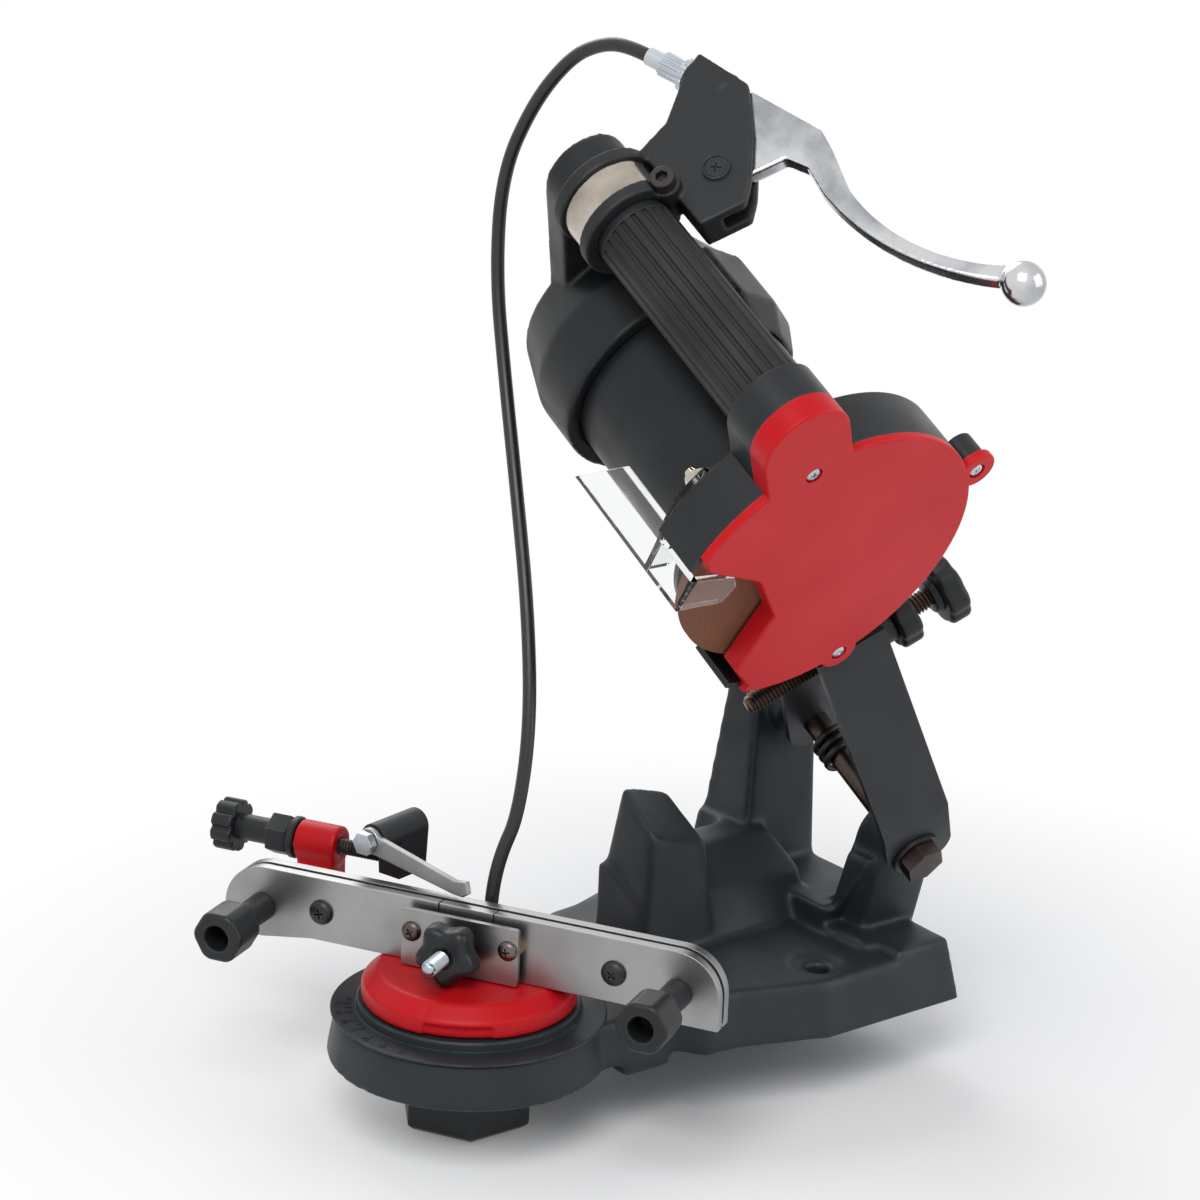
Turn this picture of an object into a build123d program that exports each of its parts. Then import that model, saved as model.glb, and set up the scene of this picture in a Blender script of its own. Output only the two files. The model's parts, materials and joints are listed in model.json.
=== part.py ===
from build123d import *
import math
import os

os.makedirs("parts", exist_ok=True)

# ---------------------------------------------------------------- driving dimensions (mm)
# The origin is midway between the two bench bolts, on the bench.
vise_x = -128  # turntable axis
vise_angle = 29  # rails against the Y axis, at rest
run_clearance = 0.05  # radial play of a running fit
face_gap = 0.3  # play between faces that pass each other

# base casting
bench_bolt_spacing = 92
bench_bolt_hole = 9
platform_radius = 51.5
platform_height = 17.5
beam_half_width = 41.5
foot_height = 22
foot_half_width = 65
foot_end_x = 186
block_height = 25
block_width = 34
bolt_recess = 1.5
bolt_recess_d = 20
body_left = 76
body_right = 156
draft = 10
lip_depth = 5.5
body_crease_z = 40
body_ridge_z = 50
tower_height = 104
near_ear_front = 38
near_ear_back = 22
tower_front = 34
tower_back = 50
ear_radius = 13.5
spot_face_radius = 21.5

# swing axis: leans back by tilt, so that the head swings in the plane of the wheel
tilt = 30
pivot_x = 172
pivot_w = 24
arm_angle = 122
pivot_bolt_d = 10
swing_travel = 44
pivot_head_af = 15
pivot_head_height = 6
pivot_washer = 1.6
spring_wire = 2.6
spring_turns = 3

# swing arm: a pressed channel, open towards the vise
arm_plate = 3.5
arm_left = 12
arm_right = 16.5
arm_near = 38.3
arm_far = 27
arm_tail = 14
arm_bend = 22
arm_near_end = 104
arm_near_top = 4
arm_top = 130
arm_screw_places = ((113, -7), (113, 7), (125, -7), (125, 7))

# depth screw
depth_along = 72
depth_out = -11
depth_rod_d = 8
depth_tip = 34.5
depth_end = 50
bushing_d = 15
bushing_length = 11
depth_lock_d = 24
depth_lock_height = 9
depth_knob_d = 27
depth_knob_height = 9
depth_collar_height = 7

# turntable and vise
ring_radius = 44
ring_height = 4.5
turntable_radius = 39.2
turntable_wall = 6
turntable_height = 11.2
turntable_top_radius = 33
index_sector = 38
index_step = 1.2
index_line = 1.2
index_groove = 0.6
swivel_stud_d = 12
lock_knob_radius = 25.5
lock_knob_height = 14
lock_knob_top = -11
lock_hub_radius = 17
rail_top = 58
rail_bottom = 33.7
rail_heel = 30.7
rail_half_length = 98
rail_thickness = 4
rail_corner = 16.5
chain_slot = 1.8
slot_depth = 8
jaw_half_width = 10.6
jaw_gap = 0.4
jaw_travel = 0.9
jaw_bottom = 34
post_inset = 15.5
post_offset = rail_half_length - post_inset
post_height = 42.5
post_stud_d = 6
post_end = 39.5
post_neck_d = 8.5
post_hex = 21
post_hex_length = 16
post_bore = 9
rail_screw_offset = 58
rail_screw_z = 45
rail_screw_d = 6
rail_screw_head = 9.5
plate_screw_offset = 19
plate_screw_z = 47.3
plate_screw_d = 4
plate_screw_head = 7.5
spacer_d = 8
plate_gap = 3
plate_thickness = 2
plate_half_width = 23
plate_bottom = 34
plate_top = 55.8
clamp_bolt_d = 6
clamp_bolt_z = 46
clamp_bolt_end = 36
star_hub_d = 12
star_d = 23
star_height = 10
star_hub_height = 3
carrier_thickness = 6
carrier_half_length = 43
carrier_top = 52
carrier_bottom = 32
anchor_x = 3
anchor_y = 10
anchor_bottom = 40
anchor_top = 50

# chain stop
stop_y = 30
stop_z = 56.9
stop_rod_d = 6
sleeve_d = 15
sleeve_start = -85
sleeve_end = -68
stop_knob_d = 20
stop_knob_end = -119
stop_knob_height = 8.5
stop_neck_d = 10
stop_nut_af = 14
stop_nut_height = 9
stop_flange_d = 16
pawl_pivot_x = -47.4
pawl_pivot_y = 15.2
pawl_pivot_z = 68.5
pawl_axis_angle = 14
barrel_radius = 6
barrel_length = 24
pawl_length = 48.3
pawl_drop = 11.8
pawl_thickness = 2.5
pawl_eye_radius = 5
pawl_bolt_d = 5

# wheel, guard and cover
wheel_x = 75
wheel_w = 166
wheel_radius = 50
wheel_thickness = 3.2
spindle_d = 10
flange_d = 26
flange_thickness = 2.4
spindle_nut_af = 13
spindle_nut_height = 3
cover_radius = 60.5
cover_front = 11
cover_wall = 3
cover_edge = 1
guard_back = 12
guard_wall = 2.5
guard_open_radius = 44
guard_open_from = 172
guard_open_to = 258
boss_radius = 16.5
boss_back = 2
ear_screw_radius = 7.5
ear_boss_radius = 6
cover_screw_d = 3
cover_screw_head = 6.4
cover_screw_sink = 1.5
ear_angle = 35.4
ear_out = 3.3
low_ear_angle = -55.9
low_ear_out = -1.3
boss_screw_angle = 120
boss_screw_out = -3.5
notch_depth = 5
notch_top = 16.4
notch_side = -6

# motor
drum_radius = 37.5
drum_wall = 3.5
drum_end = 88
drum_front_wall = 4
housing_radius = 43
housing_lap = 2
housing_straight = 107
housing_end = 128
housing_end_radius = 36
housing_wall = 6
bearing_radius = 15
bearing_width = 7
front_bearing = 17
rear_bearing = 97
rotor_radius = 20
rotor_start = 34
rotor_length = 44
lug_start = 119
lug_end = 131
lug_radius = 15.5
pod_front = 70
pod_shoulder = 82
pod_side = 46
switch_radius = 8
switch_width = 13
switch_at = 94
switch_depth = 2.5
switch_throw = 14
gland_d = 14
gland_length = 14
gland_bore = 7

# grip, brake lever and its perch
grip_x = 37
grip_w = 229
grip_radius = 14
grip_start = 12
grip_end = 94
grip_tube_d = 16
flute_count = 20
flute_radius = 0.95
clamp_at = 108
clamp_ring_radius = 19
clamp_ring_width = 5
clamp_half = 6
band_radius = 17.5
lever_turn = 40
perch_half = 7
blade_half = 3
blade_hub_radius = 6.5
lever_pivot_x = 13
lever_pivot_y = 34
lever_pivot_d = 6
lever_ball_d = 15
pinch_x = 9
pinch_y = 16.5
pinch_face = 11
pinch_d = 5
pinch_head_d = 8.5
pinch_depth = 6
adjuster_slope = 200
nose_radius = 7.5
nose_length = 16
adjuster_core_d = 4.4
lock_ring_d = 12
ferrule_end = 19
barrel_d = 9
ferrule_d = 6.4
cable_d = 5

# visor
visor_wall = 3
visor_x = -57
visor_bottom = -11
visor_screw_place = (-48.5, 25.5)

def shifted(frame, x, y, z=0, turn=0):
    """The same frame moved along its own axes and turned about its normal."""
    return Plane(frame.location * Location((x, y, z), (0, 0, turn)))


# ---------------------------------------------------------------- frames
angle = math.radians(vise_angle)
lean = math.radians(tilt)
# VISE: x along the rails, y behind them, z up. RAIL: x along the rails, y up, z out in front.
VISE = Plane(origin=(vise_x, 0, 0), x_dir=(math.sin(angle), -math.cos(angle), 0), z_dir=(0, 0, 1))
RAIL = Plane(origin=(vise_x, 0, 0), x_dir=VISE.x_dir, z_dir=(-math.cos(angle), -math.sin(angle), 0))
# ALONG: x up, y out in front of the rails, z along them to the right.
ALONG = Plane(origin=(vise_x, 0, 0), x_dir=(0, 0, 1), z_dir=VISE.x_dir)
# HEAD: the plane of the wheel, z out through the cover.
HEAD = Plane(
    origin=(vise_x, 0, rail_top),
    x_dir=(1, 0, 0),
    z_dir=(0, -math.cos(lean), -math.sin(lean)),
)
WHEEL = shifted(HEAD, wheel_x, wheel_w)
GRIP = shifted(HEAD, grip_x, grip_w)
# ARM: x from the pivot to the wheel, y down towards the vise, z as HEAD.
ARM = shifted(HEAD, pivot_x, pivot_w, 0, arm_angle)
# ARM_SIDE: x from the pivot to the wheel, y back along the swing axis, z as ARM's y.
ARM_SIDE = Plane(origin=ARM.origin, x_dir=ARM.x_dir, z_dir=ARM.y_dir)
# MOTOR_SIDE: x across, y back along the motor, z up the head. VISOR_SIDE: x back, y up the head.
MOTOR_SIDE = Plane(origin=WHEEL.origin, x_dir=WHEEL.x_dir, z_dir=WHEEL.y_dir)
VISOR_SIDE = Plane(
    origin=WHEEL.from_local_coords((visor_x, 0, 0)),
    x_dir=WHEEL.z_dir * -1,
    z_dir=WHEEL.x_dir,
)
# LEVER: x along the grip to the wheel, y away from the grip, z out of the lever's face.
turned = math.radians(lever_turn)
away = HEAD.x_dir * math.cos(turned) + HEAD.y_dir * math.sin(turned)
LEVER = Plane(
    origin=GRIP.from_local_coords((0, 0, -clamp_at)),
    x_dir=HEAD.z_dir,
    z_dir=HEAD.z_dir.cross(away),
)
# BARREL: the chain stop's hinge, z along its axis to the back, y up.
pawl_yaw = math.radians(pawl_axis_angle)
BARREL = Plane(
    origin=VISE.from_local_coords((pawl_pivot_x, pawl_pivot_y, pawl_pivot_z)),
    x_dir=(-math.sin(pawl_yaw), math.cos(pawl_yaw), 0),
    z_dir=(math.cos(pawl_yaw), math.sin(pawl_yaw), 0),
)


def save(part, name):
    part.label = name
    export_step(part, f"parts/{name}.step")


def outline(*points, mode=Mode.ADD):
    """A closed polygon in the sketch that is open."""
    Polygon(*points, align=None, mode=mode)


def ring(plane, outer_radius, inner_radius, height):
    """A plain round ring or, with no inner radius, a disc."""
    with BuildPart() as body:
        with BuildSketch(plane):
            Circle(outer_radius)
            if inner_radius:
                Circle(inner_radius, mode=Mode.SUBTRACT)
        extrude(amount=height)
    return body.part


def hex_nut(plane, across_flats, height, bore=0):
    """A hexagonal nut on a plane."""
    with BuildPart() as body:
        with BuildSketch(plane):
            RegularPolygon(across_flats / 2, 6, major_radius=False)
            if bore:
                Circle(bore / 2, mode=Mode.SUBTRACT)
        extrude(amount=height)
    return body.part


def screw(plane, head_d, head_height, shank_d, shank_length):
    """A cheese-head screw: the head sits on the plane, the shank goes below it."""
    with BuildPart() as body:
        with BuildSketch(plane.offset(-shank_length)):
            Circle(shank_d / 2)
        extrude(amount=shank_length)
        with BuildSketch(plane):
            Circle(head_d / 2)
        extrude(amount=head_height)
    return body.part


# ================================================================ base
hinge_bore = pivot_bolt_d + 2 * run_clearance
stud_bore = swivel_stud_d + 2 * run_clearance
stop_angle = math.radians(arm_angle - 90 + swing_travel)
tip_turn = math.radians(arm_angle + swing_travel)
# the depth screw's tip when the head is down
tip_x = pivot_x + depth_along * math.cos(tip_turn) - depth_tip * math.sin(tip_turn)
tip_w = pivot_w + depth_along * math.sin(tip_turn) + depth_tip * math.cos(tip_turn)
STOP_FACE = Plane(
    origin=HEAD.from_local_coords((tip_x, tip_w, depth_out)),
    z_dir=HEAD.x_dir * math.cos(stop_angle) + HEAD.y_dir * math.sin(stop_angle),
).offset(-face_gap)

with BuildPart() as base:
    with BuildSketch(Plane.XY):
        with Locations((vise_x, 0)):
            Circle(platform_radius)
        outline(
            (vise_x, -beam_half_width),
            (vise_x + 72, -beam_half_width),
            (vise_x + 72, beam_half_width),
            (vise_x, beam_half_width),
        )
    extrude(amount=platform_height, taper=draft)
    with BuildSketch(Plane.XY):
        outline(
            (vise_x + 62, -beam_half_width),
            (vise_x + 70, -52),
            (vise_x + 85, -53.5),
            (vise_x + 118, -foot_half_width),
            (vise_x + foot_end_x, -foot_half_width),
            (vise_x + foot_end_x, foot_half_width),
            (vise_x + 118, foot_half_width),
            (vise_x + 85, 53.5),
            (vise_x + 70, 52),
            (vise_x + 62, beam_half_width),
        )
    extrude(amount=foot_height, taper=draft)
    fillet(base.edges().group_by(Axis.Z)[-1], 2.5)
    # raised corner under the near ear
    with BuildSketch(Plane.XY):
        with Locations((vise_x + foot_end_x - block_width / 2, -foot_half_width + 11)):
            Rectangle(block_width, 22)
    extrude(amount=block_height, taper=draft)
    # body that carries the stop post and the hinge ears
    with BuildSketch(Plane.YZ.offset(vise_x + body_left)) as section:
        outline((-15, 10), (-2, body_crease_z), (17, body_ridge_z), (34, body_ridge_z), (44, 10))
        fillet(section.vertices().group_by(Axis.Y)[1:], 5)
    extrude(amount=body_right - body_left)
    # tall tower behind, low ear in front
    with BuildSketch(Plane.XY.offset(10)):
        with Locations((vise_x + 162, 36)):
            RectangleRounded(46, 34, 4)
    with BuildSketch(Plane.XY.offset(tower_height)):
        with Locations((vise_x + 169, 35)):
            RectangleRounded(34, 18, 3)
    loft()
    with BuildSketch(Plane.XY.offset(10)):
        with Locations((vise_x + pivot_x - 6, -36)):
            RectangleRounded(36, 32, 4)
    with BuildSketch(Plane.XY.offset(56)):
        with Locations((vise_x + pivot_x - 6, -36)):
            RectangleRounded(24, 14, 3)
    loft()
    with BuildSketch(Plane.XY.offset(10)):
        with Locations((vise_x + pivot_x - 6, 0)):
            Rectangle(36, 60)
    extrude(amount=22)
    # pointed rib between the ridge and the tower
    with BuildSketch(Plane.XZ.offset(-31)):
        outline((vise_x + 138, 46), (vise_x + 156, 61), (vise_x + 172, 61), (vise_x + 172, 46))
    extrude(amount=6)
    with BuildSketch(ARM.offset(near_ear_back)):
        Circle(ear_radius)
    extrude(amount=near_ear_front - near_ear_back)
    with BuildSketch(ARM.offset(-tower_front)):
        Circle(ear_radius)
    extrude(amount=tower_front - tower_back)
    # stop post
    with BuildSketch(Plane.XY.offset(10)):
        with Locations((vise_x + 92, 9)):
            RectangleRounded(36, 40, 4)
    with BuildSketch(Plane.XY.offset(88)):
        with Locations((vise_x + 93, 7.5)):
            RectangleRounded(22, 21, 3)
    loft()
    with BuildSketch(STOP_FACE):
        Rectangle(70, 60)
    extrude(amount=60, mode=Mode.SUBTRACT)
    # face for the arm's near flange, and the bores
    with BuildSketch(ARM.offset(near_ear_front)):
        Circle(spot_face_radius)
    extrude(amount=30, mode=Mode.SUBTRACT)
    with BuildSketch(ARM.offset(-tower_back)):
        Circle(ear_radius)
    extrude(amount=-30, mode=Mode.SUBTRACT)
    with BuildSketch(ARM.offset(-tower_back - 1)):
        Circle(pivot_bolt_d / 2)
    extrude(amount=tower_back + near_ear_front + 30, mode=Mode.SUBTRACT)
    with BuildSketch(Plane.XY.offset(-lip_depth)):
        with Locations((vise_x, 0)):
            Circle(stud_bore / 2)
    extrude(amount=lip_depth + platform_height + 1, mode=Mode.SUBTRACT)
    with BuildSketch(Plane.XY.offset(-1)):
        with Locations((0, bench_bolt_spacing / 2), (0, -bench_bolt_spacing / 2)):
            Circle(bench_bolt_hole / 2)
    extrude(amount=foot_height + 2, mode=Mode.SUBTRACT)
    with BuildSketch(Plane.XY.offset(foot_height)):
        with Locations((0, bench_bolt_spacing / 2), (0, -bench_bolt_spacing / 2)):
            Circle(bolt_recess_d / 2)
    extrude(amount=-bolt_recess, mode=Mode.SUBTRACT)
    # lip that meets the edge of the bench
    with BuildSketch(Plane.XY.offset(-lip_depth)):
        with Locations((vise_x + 52, 0)):
            Rectangle(21, 2 * beam_half_width)
    extrude(amount=lip_depth)
save(base.part, "base")

with BuildPart() as swivel_ring:
    with BuildSketch(VISE.offset(platform_height)):
        Circle(ring_radius)
        Circle(stud_bore / 2, mode=Mode.SUBTRACT)
    extrude(amount=ring_height)
    chamfer(swivel_ring.edges().group_by(Axis.Z)[-1].sort_by(SortBy.RADIUS)[-1], 1.5)
save(swivel_ring.part, "swivel_ring")

# ---------------------------------------------------------------- swing bolt, washers, nut, spring
near_washer = arm_near + arm_plate + face_gap
head_face = near_washer + pivot_washer
with BuildPart() as pivot_bolt:
    with BuildSketch(ARM.offset(-tower_back - 9)):
        Circle(pivot_bolt_d / 2)
    extrude(amount=head_face + tower_back + 9)
    with BuildSketch(ARM.offset(head_face)):
        RegularPolygon(pivot_head_af / 2, 6, major_radius=False)
    extrude(amount=pivot_head_height)
save(pivot_bolt.part, "pivot_bolt")

with BuildPart() as pivot_fasteners:
    add(ring(ARM.offset(near_washer), 10, pivot_bolt_d / 2, pivot_washer))
    add(ring(ARM.offset(-tower_front), 10, pivot_bolt_d / 2, pivot_washer))
    add(ring(ARM.offset(-tower_back - pivot_washer), 10, pivot_bolt_d / 2, pivot_washer))
    add(hex_nut(ARM.offset(-tower_back - pivot_washer - 7), pivot_head_af + 2, 7, pivot_bolt_d))
save(pivot_fasteners.part, "pivot_fasteners")

coil_radius = pivot_bolt_d / 2 + spring_wire / 2 + face_gap
coil_start = -8
spring_pitch = spring_wire + 1.2
spring_height = spring_turns * spring_pitch
with BuildPart() as return_spring:
    with BuildLine() as coil:
        Helix(
            pitch=spring_pitch,
            height=spring_height,
            radius=coil_radius,
            center=ARM.from_local_coords((0, 0, coil_start - spring_height)),
            direction=ARM.z_dir,
        )
    with BuildSketch(Plane(origin=coil.line @ 0, z_dir=coil.line % 0)):
        RegularPolygon(spring_wire / 2, 8)
    sweep(is_frenet=True)
save(return_spring.part, "return_spring")

# ================================================================ turntable
table_bottom = platform_height + ring_height + face_gap
table_top = table_bottom + turntable_height
rail_back = -chain_slot / 2 - rail_thickness
sleeve_bore = stop_rod_d + 2 * run_clearance
with BuildPart() as turntable:
    with BuildSketch(RAIL) as profile:
        outline(
            (0, table_bottom),
            (turntable_radius, table_bottom),
            (turntable_radius, table_bottom + turntable_wall),
            (turntable_top_radius, table_top),
            (0, table_top),
        )
        fillet(profile.vertices().sort_by(Axis.X)[-1], 1.5)
    revolve(axis=Axis((vise_x, 0, 0), (0, 0, 1)))
    # wall that carries the rails
    with BuildSketch(VISE.offset(carrier_bottom)):
        with Locations((0, -rail_back + carrier_thickness / 2)):
            Rectangle(2 * carrier_half_length, carrier_thickness)
        outline(
            (-carrier_half_length, -rail_back),
            (sleeve_start + 1, stop_y - 6),
            (sleeve_start + 1, stop_y + 6),
            (sleeve_end - 1, stop_y + 6),
            (-20, -rail_back + carrier_thickness),
        )
    extrude(amount=10)
    with BuildSketch(VISE.offset(carrier_bottom + 5)):
        with Locations((0, -rail_back + carrier_thickness / 2)):
            Rectangle(2 * carrier_half_length, carrier_thickness)
    extrude(amount=carrier_top - carrier_bottom - 5)
    with BuildSketch(RAIL.offset(rail_back)):
        with Locations((anchor_x, anchor_bottom + 12)):
            Rectangle(22, 24)
    extrude(amount=-20, mode=Mode.SUBTRACT)
    # sleeve of the chain stop
    with BuildSketch(VISE.offset(carrier_bottom + 2)):
        with Locations(((sleeve_start + sleeve_end) / 2, stop_y)):
            Rectangle(sleeve_end - sleeve_start - 2, 12)
    extrude(amount=stop_z - carrier_bottom - 2)
    with BuildSketch(ALONG.offset(sleeve_start)):
        with Locations((stop_z, -stop_y)):
            Circle(sleeve_d / 2)
    extrude(amount=sleeve_end - sleeve_start)
    with BuildSketch(ALONG.offset(sleeve_start - 1)):
        with Locations((stop_z, -stop_y)):
            Circle(sleeve_bore / 2)
    extrude(amount=sleeve_end - sleeve_start + 2, mode=Mode.SUBTRACT)
    with BuildSketch(VISE.offset(table_bottom - 1)):
        Circle(swivel_stud_d / 2)
    extrude(amount=turntable_height - 3, mode=Mode.SUBTRACT)
    # index: a step in the skirt and a line up to the top
    with BuildSketch(VISE.offset(table_bottom)):
        Circle(turntable_radius + 1)
        Circle(turntable_radius - index_step, mode=Mode.SUBTRACT)
        outline(
            (0, 0),
            (0, -2 * turntable_radius),
            (2 * turntable_radius * math.tan(math.radians(index_sector)), -2 * turntable_radius),
            mode=Mode.INTERSECT,
        )
    extrude(amount=turntable_wall - index_step, mode=Mode.SUBTRACT)
    with BuildSketch(ALONG.offset(-index_line / 2)):
        outline(
            (table_bottom + turntable_wall - index_groove, turntable_radius),
            (table_top - index_groove, turntable_top_radius),
            (table_top + 1, turntable_top_radius),
            (table_bottom + turntable_wall + 1, turntable_radius + 1),
        )
    extrude(amount=index_line, mode=Mode.SUBTRACT)
    # tapped holes for the plate screws
    with BuildSketch(RAIL.offset(rail_back)):
        with Locations((plate_screw_offset, plate_screw_z), (-plate_screw_offset, plate_screw_z)):
            Circle(plate_screw_d / 2)
    extrude(amount=-carrier_thickness, mode=Mode.SUBTRACT)
save(turntable.part, "turntable")

save(
    ring(VISE.offset(lock_knob_top - lock_knob_height - 2), swivel_stud_d / 2, 0,
         table_bottom + turntable_height - 4 - lock_knob_top + lock_knob_height + 2),
    "swivel_stud",
)

with BuildPart() as lock_knob:
    with BuildSketch(VISE.offset(lock_knob_top - lock_knob_height)):
        RegularPolygon(lock_knob_radius, 6)
    extrude(amount=lock_knob_height)
    chamfer(lock_knob.edges().group_by(Axis.Z)[0], 2)
    with BuildSketch(VISE.offset(lock_knob_top)):
        Circle(lock_hub_radius)
    extrude(amount=-lock_knob_top - face_gap)
    with BuildSketch(VISE.offset(lock_knob_top - lock_knob_height)):
        Circle(stud_bore / 2)
    extrude(amount=lock_knob_height - lock_knob_top, mode=Mode.SUBTRACT)
save(lock_knob.part, "lock_knob")


def rail(near_face, thickness, start, end, screw_hole):
    """One length of rail, with its holes."""
    with BuildPart() as body:
        with BuildSketch(RAIL.offset(near_face)) as shape:
            outline(
                (-rail_half_length, rail_top),
                (rail_half_length, rail_top),
                (rail_half_length, rail_heel),
                (post_offset, rail_heel),
                (rail_screw_offset + 4, rail_bottom),
                (-rail_screw_offset - 4, rail_bottom),
                (-post_offset, rail_heel),
                (-rail_half_length, rail_heel),
            )
            fillet(shape.vertices().group_by(Axis.Y)[-1], rail_corner)
            with Locations(((start + end) / 2, rail_top - 20)):
                Rectangle(end - start, 60, mode=Mode.INTERSECT)
            with Locations((-post_offset, post_height), (post_offset, post_height)):
                Circle(post_stud_d / 2, mode=Mode.SUBTRACT)
            with Locations((-rail_screw_offset, rail_screw_z), (rail_screw_offset, rail_screw_z)):
                Circle(rail_screw_d / 2, mode=Mode.SUBTRACT)
            with Locations((-plate_screw_offset, plate_screw_z), (plate_screw_offset, plate_screw_z)):
                Circle(screw_hole / 2, mode=Mode.SUBTRACT)
        extrude(amount=thickness)
    return body.part


slot_half = chain_slot / 2
jaw_slot = jaw_half_width + jaw_gap
save(rail(slot_half, rail_thickness, -rail_half_length, -jaw_slot, plate_screw_d), "front_rail_left")
save(rail(slot_half, rail_thickness, jaw_slot, rail_half_length, plate_screw_d), "front_rail_right")

with BuildPart() as rear_rail:
    add(rail(rail_back, rail_thickness, -rail_half_length, rail_half_length, plate_screw_d))
    with BuildSketch(RAIL.offset(rail_back)):
        with Locations((anchor_x, clamp_bolt_z)):
            Circle(2)
    extrude(amount=rail_thickness, mode=Mode.SUBTRACT)
save(rear_rail.part, "rear_rail")

with BuildPart() as rail_shims:
    add(rail(-slot_half, chain_slot, -rail_half_length + 4, -jaw_slot - 2, plate_screw_d))
    add(rail(-slot_half, chain_slot, jaw_slot + 2, rail_half_length - 4, plate_screw_d))
    with BuildSketch(RAIL.offset(-slot_half)):
        with Locations((0, rail_top)):
            Rectangle(2 * rail_half_length, 2 * slot_depth)
    extrude(amount=chain_slot, mode=Mode.SUBTRACT)
save(rail_shims.part, "rail_shims")

rail_front = slot_half + rail_thickness
pack = 2 * rail_thickness + chain_slot
with BuildPart() as rail_fasteners:
    for side in (-rail_screw_offset, rail_screw_offset):
        add(screw(shifted(RAIL, side, rail_screw_z, rail_front), rail_screw_head, 2.6, rail_screw_d,
                  pack + 5))
    for side in (-rail_screw_offset, rail_screw_offset):
        add(hex_nut(shifted(RAIL, side, rail_screw_z, rail_back - 4), 10, 4, rail_screw_d))
    for side in (-post_offset, post_offset):
        add(hex_nut(shifted(RAIL, side, post_height, rail_back - 4), 10, 4, post_stud_d))
save(rail_fasteners.part, "rail_fasteners")

post_bore_depth = 11
with BuildPart() as rail_studs:
    for side in (-post_offset, post_offset):
        add(ring(shifted(RAIL, side, post_height, rail_back - 5), post_stud_d / 2, 0,
                 post_end - post_bore_depth - 2 - rail_back + 5))
save(rail_studs.part, "rail_studs")


def post(side):
    """A chain post: a sleeve that runs on its stud, with a hollow hexagonal end."""
    with BuildPart() as body:
        with BuildSketch(shifted(RAIL, side, post_height, rail_front + face_gap)):
            Circle(post_neck_d / 2)
        extrude(amount=post_end - post_hex_length - rail_front - face_gap)
        with BuildSketch(shifted(RAIL, side, post_height, post_end - post_hex_length)) as section:
            RegularPolygon(post_hex / 2, 6)
            fillet(section.vertices(), 2)
        extrude(amount=post_hex_length)
        with BuildSketch(shifted(RAIL, side, post_height, post_end)):
            Circle(post_bore / 2)
        extrude(amount=-post_bore_depth, mode=Mode.SUBTRACT)
        with BuildSketch(shifted(RAIL, side, post_height, rail_front)):
            Circle(post_stud_d / 2 + run_clearance)
        extrude(amount=post_end - rail_front, mode=Mode.SUBTRACT)
    return body.part


save(post(-post_offset), "rail_knob_left")
save(post(post_offset), "rail_knob_right")

# ---------------------------------------------------------------- clamp
plate_back = rail_front + plate_gap
plate_face = plate_back + plate_thickness
with BuildPart() as clamp_plate:
    with BuildSketch(RAIL.offset(plate_back)) as shape:
        with Locations((0, (plate_top + plate_bottom) / 2)):
            Rectangle(2 * plate_half_width, plate_top - plate_bottom)
        fillet(shape.vertices(), 1)
        with Locations((-plate_screw_offset, plate_screw_z), (plate_screw_offset, plate_screw_z)):
            Circle(plate_screw_d / 2, mode=Mode.SUBTRACT)
        with Locations((0, clamp_bolt_z)):
            Circle(clamp_bolt_d / 2 + run_clearance, mode=Mode.SUBTRACT)
    extrude(amount=plate_thickness)
save(clamp_plate.part, "clamp_plate")

with BuildPart() as plate_screws:
    for side in (-plate_screw_offset, plate_screw_offset):
        add(screw(shifted(RAIL, side, plate_screw_z, plate_face), plate_screw_head, 2, plate_screw_d,
                  plate_thickness + plate_gap + pack + carrier_thickness))
save(plate_screws.part, "plate_screws")

with BuildPart() as plate_spacers:
    for side in (-plate_screw_offset, plate_screw_offset):
        add(ring(shifted(RAIL, side, plate_screw_z, rail_front), spacer_d / 2, plate_screw_d / 2, plate_gap))
save(plate_spacers.part, "plate_spacers")

with BuildPart() as moving_jaw:
    with BuildSketch(RAIL.offset(slot_half)):
        with Locations((0, (rail_top + jaw_bottom) / 2)):
            Rectangle(2 * jaw_half_width, rail_top - jaw_bottom)
        with Locations((0, clamp_bolt_z)):
            Circle(clamp_bolt_d / 2, mode=Mode.SUBTRACT)
    extrude(amount=rail_thickness)
save(moving_jaw.part, "moving_jaw")
save(ring(shifted(RAIL, 0, clamp_bolt_z, slot_half), clamp_bolt_d / 2, 0, clamp_bolt_end - slot_half),
     "clamp_bolt")

star_back = plate_face + jaw_travel + face_gap
with BuildPart() as clamp_knob:
    with BuildSketch(shifted(RAIL, 0, clamp_bolt_z, star_back)):
        Circle(star_hub_d / 2)
    extrude(amount=star_hub_height)
    with BuildSketch(shifted(RAIL, 0, clamp_bolt_z, star_back + star_hub_height)):
        Circle(star_d / 2)
        with PolarLocations(star_d / 2 + 2.4, 5, start_angle=18):
            Circle(5, mode=Mode.SUBTRACT)
    extrude(amount=star_height)
    with BuildSketch(shifted(RAIL, 0, clamp_bolt_z, star_back)):
        Circle(clamp_bolt_d / 2 + run_clearance)
    extrude(amount=star_height + star_hub_height, mode=Mode.SUBTRACT)
save(clamp_knob.part, "clamp_knob")

# bracket behind the rails that holds the end of the cable's housing
with BuildPart() as cable_anchor:
    with BuildSketch(RAIL.offset(rail_back)):
        with Locations((anchor_x, (anchor_top + anchor_bottom) / 2)):
            Rectangle(10, anchor_top - anchor_bottom)
    extrude(amount=-10)
save(cable_anchor.part, "cable_anchor")

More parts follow.
